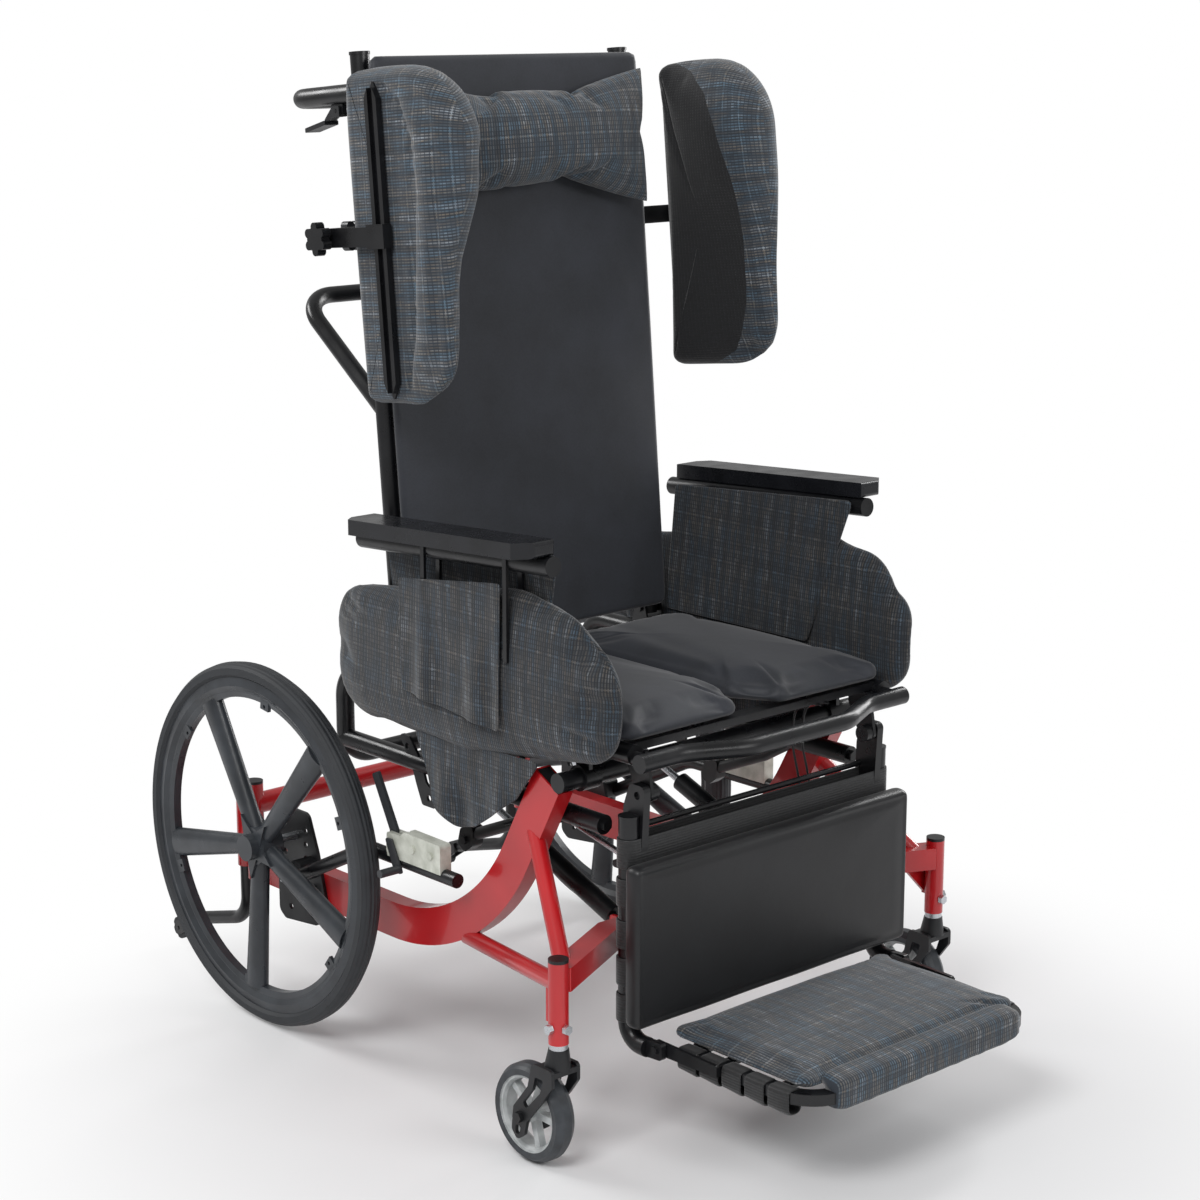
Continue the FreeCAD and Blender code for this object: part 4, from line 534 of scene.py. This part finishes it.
def stuffed(name, outline, place, high, low, edge, finish, turned=False, count=180):
    # A closed padded form on an outline: high(a, b, share) and low(a, b, share) give its
    # two faces, share being 0 in the middle and 1 at the edge, which is rounded
    points = closed_curve(outline, count)
    ahead = np.roll(points, -1, axis=0) - np.roll(points, 1, axis=0)
    normal = np.column_stack([ahead[:, 1], -ahead[:, 0]])
    normal /= np.linalg.norm(normal, axis=1)[:, None]
    area = np.sum(points[:, 0] * np.roll(points[:, 1], -1) - np.roll(points[:, 0], -1) * points[:, 1])
    if area < 0:
        normal = -normal
    inset = points - normal * edge
    centre = inset.mean(axis=0)
    rings, flats, sides = [], [], []
    for share in SHARES[1:]:
        flat = centre + (inset - centre) * share
        rings.append(np.column_stack([flat, high(flat[:, 0], flat[:, 1], share)]))
        flats.append((flat, flat))
    top = high(inset[:, 0], inset[:, 1], 1.0)
    bottom = low(inset[:, 0], inset[:, 1], 1.0)
    half = (top - bottom) / 2
    for step in range(1, RIM_STEPS):
        angle = math.pi * step / RIM_STEPS
        flat = inset + normal * edge * math.sin(angle)
        rings.append(np.column_stack([flat, (top + bottom) / 2 + half * math.cos(angle)]))
        run = (half + edge)[:, None] / 2
        flats.append((inset + normal * run * angle, inset + normal * run * (math.pi - angle)))
    for share in reversed(SHARES[1:]):
        flat = centre + (inset - centre) * share
        rings.append(np.column_stack([flat, low(flat[:, 0], flat[:, 1], share)]))
        flats.append((flat, flat))
    middle_ring = len(SHARES) - 1 + RIM_STEPS // 2 - 1
    first = np.array([[centre[0], centre[1], high(centre[:1], centre[1:], 0.0)[0]]])
    last = np.array([[centre[0], centre[1], low(centre[:1], centre[1:], 0.0)[0]]])
    cloud = np.vstack([first] + rings + [last])
    total_rings = len(rings)

    def spot(ring, i):
        return 1 + ring * count + i % count

    faces, loops_uv, side_of = [], [], []
    end_spot = 1 + total_rings * count
    for i in range(count):
        faces.append((0, spot(0, i), spot(0, i + 1)))
        loops_uv.append([centre, flats[0][0][i], flats[0][0][(i + 1) % count]])
        side_of.append(0)
    for ring in range(total_rings - 1):
        side = 0 if ring < middle_ring else 1
        for i in range(count):
            j = (i + 1) % count
            faces.append((spot(ring, i), spot(ring + 1, i), spot(ring + 1, j), spot(ring, j)))
            near, far = flats[ring][side], flats[ring + 1][side]
            loops_uv.append([near[i], far[i], far[j], near[j]])
            side_of.append(side)
    for i in range(count):
        faces.append((end_spot, spot(total_rings - 1, i + 1), spot(total_rings - 1, i)))
        loops_uv.append([centre, flats[-1][1][(i + 1) % count], flats[-1][1][i]])
        side_of.append(1)
    verts = [place(*p) for p in cloud]
    volume = sum(verts[f[0]].dot(verts[f[1]].cross(verts[f[2]])) for f in faces)
    if volume < 0:
        faces = [tuple(reversed(f)) for f in faces]
        loops_uv = [list(reversed(uv)) for uv in loops_uv]
    piece = new_piece(name, verts, faces, finish)
    flat_uv = []
    for uv, side in zip(loops_uv, side_of):
        for a, b in uv:
            a, b = (a + side * UNDERSIDE_SHIFT) / 1000, b / 1000
            flat_uv += [b, a] if turned else [a, b]
    weave(piece, flat_uv)
    return piece


def weave(piece, uvs):
    # The cloth's own directions, which its threads follow
    layer = piece.data.uv_layers.new(name="weave")
    layer.data.foreach_set("uv", uvs)


def coordinates(piece):
    flat = np.empty(len(piece.data.vertices) * 3)
    piece.data.vertices.foreach_get("co", flat)
    return flat.reshape(-1, 3)


def set_coordinates(piece, cloud):
    piece.data.vertices.foreach_set("co", np.asarray(cloud, float).ravel())
    piece.data.update()


def blow_up(piece, cap_mm, pressure, still=None, frames=20, stiffness=12.0):
    # Cloth under air pressure: the cover swells and wrinkles between its seams. No point
    # moves further than the cap, and those that are still stay where they are.
    start = coordinates(piece)
    cloth = piece.modifiers.new("cover", "CLOTH")
    cloth.settings.quality = 5
    cloth.settings.mass = 0.3
    cloth.settings.tension_stiffness = stiffness
    cloth.settings.compression_stiffness = stiffness
    cloth.settings.bending_stiffness = 0.4
    cloth.settings.use_pressure = True
    cloth.settings.uniform_pressure_force = pressure
    cloth.settings.effector_weights.gravity = 0.0
    if still is not None:
        group = piece.vertex_groups.new(name="held")
        group.add([int(i) for i in np.nonzero(still(start))[0]], 1.0, "REPLACE")
        cloth.settings.vertex_group_mass = "held"
    cloth.point_cache.frame_start = 1
    cloth.point_cache.frame_end = frames
    for step in range(1, frames + 1):
        scene.frame_set(step)
    shaped = piece.evaluated_get(bpy.context.evaluated_depsgraph_get())
    move = coordinates(shaped) - start
    piece.modifiers.remove(cloth)
    scene.frame_set(1)
    far = np.linalg.norm(move, axis=1)
    limit = cap_mm / 1000
    scale = np.where(far > limit, limit / np.maximum(far, 1e-9), 1.0)
    set_coordinates(piece, start + move * scale[:, None])


def finer(piece):
    # One level of subdivision, applied
    bpy.context.view_layer.objects.active = piece
    modifier = piece.modifiers.new("finer", "SUBSURF")
    modifier.levels = 1
    modifier.render_levels = 1
    with bpy.context.temp_override(object=piece, active_object=piece, selected_objects=[piece]):
        bpy.ops.object.modifier_apply(modifier=modifier.name)


def mirrored_copy(piece, name):
    twin = piece.copy()
    twin.data = piece.data.copy()
    twin.name = name
    twin.data.name = name
    scene.collection.objects.link(twin)
    cloud = coordinates(twin)
    cloud[:, 0] *= -1
    set_coordinates(twin, cloud)
    twin.data.flip_normals()
    return twin


def on_side(a, b, c):
    # Forms that stand along the chair's side: a runs rearward, b up and c outward
    return at(c, a, b)


def finish_soft(piece, body, node):
    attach(piece, body)
    if node:
        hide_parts(node)


def finish_pair(left, name, body, node):
    # A left piece and its mirror image, where {} stands for the side's letter
    right = mirrored_copy(left, f"{name}_r")
    for piece, side in ((left, "l"), (right, "r")):
        finish_soft(piece, body.format(side), node and node.format(side))


# Seat cushions
SEAT_BASE_TOP = 0.5205


def seat_cushion():
    # A thin stretch-covered cushion; its inner front corner is cut away
    outline = [(4, 66, 16), (40, 4, 18), (228, 2, 22), (232, 200, 400), (230, 398, 24), (4, 400, 14)]

    def high(a, b, share):
        crown = 536 + 9 * (1 - share ** 2.6)
        fold = 2.2 * np.exp(-((a - 14 - 0.18 * b) / 16) ** 2) * (1 - share ** 4)
        return crown - fold

    def low(a, b, share):
        return np.full(np.shape(a), 514.0)

    piece = stuffed("seat_cover_l", outline, at, high, low, 9, seat_vinyl)
    blow_up(piece, 7, 3.5, lambda cloud: cloud[:, 2] < SEAT_BASE_TOP)
    return piece


finish_pair(seat_cushion(), "seat_cover", "seat", "seat_cushion_{}")


# Back panel and calf pad
def back_cover():
    # Stretch cover over a firm board, with faint pulls towards its corners
    outline = [
        (-228, 7, 14), (228, 7, 14), (229, 400, 900),
        (228, 776, 12), (-228, 776, 12), (-229, 400, 900),
    ]

    def high(a, b, share):
        pull = 0.8 * np.sin(b / 23 + a / 60) * np.exp(-((228 - np.abs(a)) / 40) ** 2)
        return 35.0 + 5.5 * (1 - share ** 3) + pull * (1 - share ** 8)

    def low(a, b, share):
        return np.full(np.shape(a), 20.4)

    def place(a, b, c):
        return at_back(a, -c, b)

    return stuffed("back_cover", outline, place, high, low, 8, seat_vinyl, count=240)


finish_soft(back_cover(), "back", "back_panel")


def calf_cover():
    # Grained vinyl over foam, with a seam close to its edge
    outline = [(-246, 160, 12), (246, 160, 12), (246, 368, 12), (-246, 368, 12)]

    def high(a, b, share):
        near = np.minimum(246 - np.abs(a), np.minimum(b - 160, 368 - b))
        seam = 1.6 * np.exp(-((near - 11) / 2.6) ** 2)
        dimple = 0.7 * np.sin(a / 26) * np.exp(-((near - 14) / 14) ** 2)
        return 34.0 + 2.5 * (1 - share ** 4) - seam + dimple

    def low(a, b, share):
        return np.full(np.shape(a), 9.6)

    def place(a, b, c):
        return at(a, -c, b)

    return stuffed("calf_cover", outline, place, high, low, 6, calf_vinyl, count=280)


finish_soft(calf_cover(), "leg_rest", "calf_pad")


# Head pillow
PILLOW_COLUMNS, PILLOW_ROWS = 72, 30
PILLOW_HALF_WIDTH = 204.0
SEWN_HALF_HEIGHT, PILLOW_HALF_HEIGHT = 92.0, 91.0
PILLOW_DEPTH = 86.0
FLAT_BACK_DEPTH = 20.0
PILLOW_REAR = -42.7
PILLOW_MIDDLE = 664


def pillow_sheets():
    # Two flat sheets that share the points of their rim
    columns, rows = PILLOW_COLUMNS, PILLOW_ROWS
    row_length = columns + 1
    sheet = row_length * (rows + 1)
    points = []
    for side in (1, -1):
        for j in range(rows + 1):
            for i in range(columns + 1):
                s = i / columns * 2 - 1
                t = j / rows * 2 - 1
                rim = (1 - s ** 4) * (1 - t ** 4)
                waist = 1 + 0.02 * (1 - abs(s) ** 3.0)
                height = t * SEWN_HALF_HEIGHT * waist
                points.append((s * PILLOW_HALF_WIDTH, height, side * 26.0 * rim ** 0.6))
    index, cloud = {}, []
    for k, point in enumerate(points):
        grid = k % sheet
        i, j = grid % row_length, grid // row_length
        on_rim = i in (0, columns) or j in (0, rows)
        key = (grid,) if on_rim else (k,)
        if key not in index:
            index[key] = len(cloud)
            cloud.append(point)
        index[k] = index[key]
    faces, uvs = [], []
    for side in (0, 1):
        for j in range(rows):
            for i in range(columns):
                corner = side * sheet + j * row_length + i
                quad = [corner, corner + 1, corner + 1 + row_length, corner + row_length]
                if side == 0:
                    quad.reverse()
                faces.append(tuple(index[q] for q in quad))
                for q in quad:
                    uvs += [points[q][1] / 1000 + 0.5 * side, points[q][0] / 1000]
    return [(x / 1000, depth / 1000, z / 1000) for x, z, depth in cloud], faces, uvs


def head_pillow():
    # Two sheets sewn at the rim and blown up, so the rim gathers and the corners stay pointed
    cloud, faces, uvs = pillow_sheets()
    piece = new_piece("head_pillow_cover", cloud, faces, tweed_painted_light)
    weave(piece, uvs)
    blow_up(piece, 60, 6.0, frames=30, stiffness=9.0)
    finer(piece)

    # Scaled to its size, and flattened where it lies against the back
    shape = coordinates(piece) * 1000
    low, high = shape.min(axis=0), shape.max(axis=0)
    shape[:, 0] *= PILLOW_HALF_WIDTH / max(high[0], -low[0])
    shape[:, 2] *= PILLOW_HALF_HEIGHT / max(high[2], -low[2])
    depth = (shape[:, 1] - low[1]) / (high[1] - low[1]) * PILLOW_DEPTH
    depth = np.where(depth < FLAT_BACK_DEPTH, FLAT_BACK_DEPTH + (depth - FLAT_BACK_DEPTH) * 0.04, depth)
    depth -= depth.min()
    spots = zip(shape[:, 0], depth, shape[:, 2])
    set_coordinates(piece, [at_back(x, PILLOW_REAR - d, PILLOW_MIDDLE + z) for x, d, z in spots])
    return piece


finish_soft(head_pillow(), "back", "head_pillow")


# Wings
WING_OUTER = 293.0
WING_REAR_INNER = 238
WING_HEIGHTS = np.array([342, 364, 430, 520, 600, 670, 712, 742, 758], float)
WING_INNER = np.array([274, 270, 264, 252, 228, 218, 220, 226, 236], float)
WING_FRONT = np.array([-150, -204, -224, -234, -243, -240, -222, -184, -130], float)


def wing_front(v):
    return np.interp(v, WING_HEIGHTS, WING_FRONT)


def paint_lining(piece, cloud):
    # The smooth lining covers the inner face behind the front roll
    y = cloud[:, 1] * 1000 + MIDDLE_Y - HINGE_Y
    z = cloud[:, 2] * 1000 - HINGE_Z
    u = y * math.cos(LEAN) - z * math.sin(LEAN)
    v = y * math.sin(LEAN) + z * math.cos(LEAN)
    ahead = u - wing_front(v)
    roll = 34 + 22 * smooth(560, 700, v)
    inward = WING_OUTER - cloud[:, 0] * 1000
    lined = np.clip((ahead - roll) / 20 + 0.5, 0, 1) * np.clip((inward - 14) / 20, 0, 1)
    layer = piece.data.attributes.new("lining", "FLOAT", "POINT")
    layer.data.foreach_set("value", lined.astype(np.float32))


def wing_cover():
    # Foam wing: a flat tweed-covered outside, a full front roll and a dark smooth lining
    outline = [
        (-46, 343, 19), (-160, 343, 60), (-226, 372, 80), (-230, 480, 400),
        (-245, 600, 300), (-243, 700, 110), (-190, 757, 110), (-46, 757, 19),
    ]

    def place(a, b, c):
        return at_back(WING_OUTER + c, a, b)

    def high(a, b, share):
        ahead = a - wing_front(b)
        roll = 7.5 * np.sin(np.clip(ahead / 62, 0, 1) * math.pi) ** 0.5
        groove = 5.5 * np.exp(-((ahead - 62) / 4.5) ** 2)
        return -2.4 - groove * smooth(1.0, 0.97, share) + roll * smooth(1.0, 0.8, share)

    def low(a, b, share):
        inner = np.interp(b, WING_HEIGHTS, WING_INNER)
        forward = smooth(-50, -190, a)
        bulge = 5.0 * (1 - share ** 2.5)
        return -(WING_OUTER - (WING_REAR_INNER + (inner - WING_REAR_INNER) * forward)) - bulge + 5.0

    piece = stuffed("wing_cover_l", outline, place, high, low, 17, wing_tweed, count=200)
    outer_plane = WING_OUTER / 1000 - 0.006  # the flat outside, which is held
    blow_up(piece, 5, 3.0, lambda cloud: cloud[:, 0] > outer_plane)
    paint_lining(piece, coordinates(piece))
    return piece


finish_pair(wing_cover(), "wing_cover", "wing_{}", "wing_pad_{}")


# Side bolsters with their flap and pouch
BOLSTER_INNER_FACE = 0.252
FLAP_OUTLINE = [(160, 694, 5), (360, 669, 5), (356, 524, 8), (164, 506, 8)]
POUCH_OUTLINE = [
    (113, 474, 6), (357, 466, 6), (318, 368, 24), (275, 352, 30),
    (237, 363, 30), (199, 388, 30), (158, 418, 20),
]


def bolster_cover():
    # A firm pad with a rounded front corner and a full, slightly gathered outside
    outline = [
        (-16, 494, 66), (250, 452, 260), (531, 462, 105), (529, 632, 80),
        (150, 690, 150), (46, 668, 80), (-18, 604, 56),
    ]

    def high(a, b, share):
        full = 10.5 * (1 - share ** 2.0)
        tuck = 1.2 * np.sin(a / 21 + b / 60) * np.exp(-((b - 470) / 30) ** 2)
        return 274.0 + full + tuck * (1 - share ** 6)

    def low(a, b, share):
        lean = 245.5 + 9.0 * smooth(560, 690, b)
        return lean - 0.5 * (1 - share ** 2)

    piece = stuffed(
        "bolster_cover_l", outline, on_side, high, low, 22, tweed_painted_shade, turned=True, count=220
    )
    blow_up(piece, 5, 3.0, lambda cloud: cloud[:, 0] < BOLSTER_INNER_FACE)
    return piece


def flap_ripple(a, b):
    fall = smooth(660, 540, b)
    waves = 2.6 * np.sin(a / 15.0) + 1.2 * np.sin(a / 8.0 + 1.0)
    over_post = 1.5 * (np.exp(-((a - 313) / 9.0) ** 2) + np.exp(-((a - 168) / 9.0) ** 2))
    return fall * (1.8 + waves) + over_post


def pouch_ripple(a, b):
    fall = smooth(470, 380, b)
    return fall * (3.4 * np.sin(a / 17.0 + b / 45.0) + 1.5 * np.sin(a / 8.5 - b / 50.0))


def cloth_leaf(name, outline, face_x, thick, ripple):
    # A hemmed piece of cloth that hangs beside the bolster
    def high(a, b, share):
        return face_x + thick + ripple(a, b)

    def low(a, b, share):
        return face_x + ripple(a, b)

    return stuffed(name, outline, on_side, high, low, 1.2, tweed_painted_shade, turned=True, count=240)


finish_pair(bolster_cover(), "bolster_cover", "seat", "bolster_{}")
flap = cloth_leaf("bolster_flap_l", FLAP_OUTLINE, 291.7, 1.6, flap_ripple)
pouch = cloth_leaf("hanging_pouch_l", POUCH_OUTLINE, 270.0, 2.4, pouch_ripple)
finish_pair(flap, "bolster_flap", "seat", None)
finish_pair(pouch, "hanging_pouch", "seat", None)


# Arm panels
PANEL_FOOT = 533.0
PANEL_INNER = 236.8


def arm_panel():
    # The quilted cloth panel between the arm tube and the seat
    outline = [(150, 535, 8), (424, 535, 8), (426, 712, 8), (91, 734, 8)]
    slope = (258.5 - 236.5) / (738.0 - PANEL_FOOT)

    def seam(a, b, start):
        return np.exp(-((a - start + (b - 535) * 0.12) / 3.0) ** 2)

    def high(a, b, share):
        return PANEL_INNER + (b - PANEL_FOOT) * slope + 4.2 + 1.0 * (1 - share ** 3) - seam(a, b, 116) * 0.5

    def low(a, b, share):
        return PANEL_INNER + (b - PANEL_FOOT) * slope - 0.8 * (1 - share ** 3) + 1.2 * seam(a, b, 140)

    return stuffed(
        "arm_panel_cover_l", outline, on_side, high, low, 2.4, tweed_painted_shade, turned=True, count=240
    )


finish_pair(arm_panel(), "arm_panel_cover", "arm_{}", "arm_panel_{}")


# Foot cushion
FOOT_BASE_TOP = 0.1475
SKIRT_HALF_WIDTH = 166
SKIRT_OUTLINE = [
    (-295, 118, 8), (-295, 157, 12), (-262, 161, 10),
    (-262, 150, 3), (-268.5, 148, 3), (-268.5, 118, 3),
]


def foot_cushion():
    # A thin tweed cushion over a board
    outline = [(-193, -266, 20), (193, -266, 20), (193, -38, 18), (-193, -38, 18)]

    def high(a, b, share):
        return 157.0 + 4.0 * (1 - share ** 3) + 0.5 * np.sin(a / 19) * np.exp(-((b + 262) / 14) ** 2)

    def low(a, b, share):
        return np.full(np.shape(a), 144.8)

    piece = stuffed("foot_cushion_cover", outline, at, high, low, 7, tweed_painted_light, turned=True, count=240)
    blow_up(piece, 4, 2.5, lambda cloud: cloud[:, 2] < FOOT_BASE_TOP)
    return piece


def foot_roll():
    # The cushion's front skirt, folded down over the frame's front bar
    ring = closed_curve(SKIRT_OUTLINE, 60)
    stations = np.linspace(-1, 1, 49)
    middle = ring.mean(axis=0)
    points = []
    for s in stations:
        ends = 1 - 0.2 * abs(s) ** 18
        wave = 0.8 * math.sin(s * 26) + 0.5 * math.sin(s * 47 + 1)
        for y, z in ring:
            swing = wave * smooth(150, 118, z) * 0.6
            new_y = middle[0] + (y - middle[0]) * ends - swing
            new_z = middle[1] + (z - middle[1]) * ends
            points.append(at(s * SKIRT_HALF_WIDTH, new_y, new_z))
    count = len(ring)
    run = np.concatenate([[0], np.cumsum(np.linalg.norm(np.diff(ring, axis=0), axis=1))]) / 1000
    faces, uvs = [], []
    for k in range(len(stations) - 1):
        for i in range(count):
            j = (i + 1) % count
            faces.append((k * count + i, k * count + j, (k + 1) * count + j, (k + 1) * count + i))
            x0, x1 = stations[k:k + 2] * (SKIRT_HALF_WIDTH / 1000)
            v0 = run[i]
            v1 = run[i + 1] if i + 1 < count else run[i] + 0.002
            for x, v in ((x0, v0), (x0, v1), (x1, v1), (x1, v0)):
                uvs += [v, x]
    faces.append(tuple(range(count - 1, -1, -1)))
    faces.append(tuple(range((len(stations) - 1) * count, len(stations) * count)))
    uvs += [0.0, 0.0] * (2 * count)
    piece = new_piece("foot_cushion_skirt", points, faces, tweed_painted_light)
    weave(piece, uvs)
    return piece


finish_soft(foot_cushion(), "foot_plate", "foot_cushion")
finish_soft(foot_roll(), "foot_plate", None)


# Webbing bands of the leg rest and of the foot frame
BAND_SECTION_POINTS = 16
LEG_TUBE_RADIUS = 12.8
LEG_TUBE_X = 223
FOOT_TUBE_X = 208.0
FOOT_CORNER_START = -234.0


def webbing_loop(name, path, axis, width, thick, place):
    # A flat band of webbing with soft edges, round a closed path in the plane across its axis
    path = np.array(path)
    ahead = np.roll(path, -1, axis=0) - np.roll(path, 1, axis=0)
    outward = np.column_stack([ahead[:, 1], -ahead[:, 0]])
    outward /= np.linalg.norm(outward, axis=1)[:, None]
    section = []
    for k in range(BAND_SECTION_POINTS):
        angle = 2 * math.pi * k / BAND_SECTION_POINTS
        section.append((
            math.copysign(abs(math.sin(angle)) ** 0.5, math.sin(angle)) * thick / 2,
            math.copysign(abs(math.cos(angle)) ** 0.25, math.cos(angle)) * width / 2,
        ))
    points, faces = [], []
    for spot, away in zip(path, outward):
        for up, along in section:
            cross = spot + away * up
            points.append(place(cross[0], cross[1], axis + along))
    total, around = len(path), len(section)
    for i in range(total):
        for k in range(around):
            j, m = (i + 1) % total, (k + 1) % around
            faces.append((i * around + k, i * around + m, j * around + m, j * around + k))
    return new_piece(name, points, faces, webbing)


def leg_bands():
    # Each band by its middle height, width and thickness, round both side tubes
    bands = []
    heights = [(376.5, 37, 1.5)] + [(low + 18, 35.6, 2.2) for low in (309, 256, 208, 161)]
    for number, (middle, width, thick) in enumerate(heights):
        reach = LEG_TUBE_RADIUS + thick / 2 + 0.1
        path = []
        for centre_x, start in ((LEG_TUBE_X, -90), (-LEG_TUBE_X, 90)):
            for step in range(13):
                angle = math.radians(start + step * 15)
                path.append((centre_x + reach * math.cos(angle), 6 + reach * math.sin(angle)))
        bands.append(webbing_loop(f"leg_band_{number}", path, middle, width, thick, at))
    return bands


def foot_side_x(y):
    # The foot frame's outer edge, which turns in towards its front corners
    inward = max(FOOT_CORNER_START - y, 0.0)
    return 152 + math.sqrt(max(56 ** 2 - inward ** 2, 0.0)) if inward else FOOT_TUBE_X


def foot_bands():
    bands = []
    corners = [(211, 144, 5), (211, 112.6, 9), (187.6, 112.6, 9), (187.6, 144, 5)]
    inset = 1.1
    moved = [(x - math.copysign(inset, x - 199), z - math.copysign(inset, z - 128), r) for x, z, r in corners]
    path = closed_curve(moved, 44)
    for number in range(5):
        middle = -252 + 38 * number + 16
        for name, sign in (("r", -1), ("l", 1)):
            def place(x, z, y, sign=sign, middle=middle):
                sag = 1.2 * math.sin((y - middle) / 6.0) * float(smooth(125, 113, z))
                return at(sign * (x + foot_side_x(y) - FOOT_TUBE_X), y, z + sag)

            bands.append(webbing_loop(f"foot_band_{name}_{number}", path, middle, 31.4, 2.1, place))
    return bands


for band in leg_bands():
    finish_soft(band, "leg_rest", "leg_bands")
for band in foot_bands():
    finish_soft(band, "foot_plate", "foot_loops")


# Release cables of the tilt springs, held under the seat's front bar
CABLE_TOP = 499.25


def release_cable(name, x, y):
    route = [
        at(x, 2, CABLE_TOP),
        at(x, y - 6, CABLE_TOP),
        at(x + 3, y + 4, 440),
        at(x + 8, y - 2, 404),
        at(x + 10, y - 8, 372),
    ]
    curve = bpy.data.curves.new(name, "CURVE")
    curve.dimensions = "3D"
    curve.bevel_depth = 0.0016
    curve.bevel_resolution = 4
    spline = curve.splines.new("NURBS")
    spline.points.add(len(route) - 1)
    for point, spot in zip(spline.points, route):
        point.co = (*spot, 1.0)
    spline.order_u = 3
    spline.use_endpoint_u = True
    curve.materials.append(cap_plastic)
    cable = bpy.data.objects.new(name, curve)
    scene.collection.objects.link(cable)
    end, before = route[-1], route[-2]
    ferrule = turned_end(f"{name}_ferrule", end, (end - before).normalized())
    for piece in (cable, ferrule):
        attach(piece, "seat")
    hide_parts("control_cables")
    tuple(route[0])


def turned_end(name, tip, along):
    # The crimped end of a cable: a short barrel with a narrow collar
    profile = [
        (0.0, -1.0), (1.9, -1.0), (2.3, 0.0), (2.3, 6.0), (1.8, 6.6),
        (1.8, 8.0), (2.3, 8.6), (2.3, 10.0), (0.0, 10.6),
    ]
    side = along.orthogonal().normalized()
    other = along.cross(side)
    points, faces = [], []
    steps = 20
    for radius, run in profile:
        for k in range(steps):
            angle = 2 * math.pi * k / steps
            reach = (side * math.cos(angle) + other * math.sin(angle)) * radius / 1000
            points.append(tip + reach + along * run / 1000)
    for i in range(len(profile) - 1):
        for k in range(steps):
            m = (k + 1) % steps
            faces.append((i * steps + k, i * steps + m, (i + 1) * steps + m, (i + 1) * steps + k))
    return new_piece(name, points, faces, steel)


release_cable("release_cable_a", 112, 54)
release_cable("release_cable_b", 126, 50)
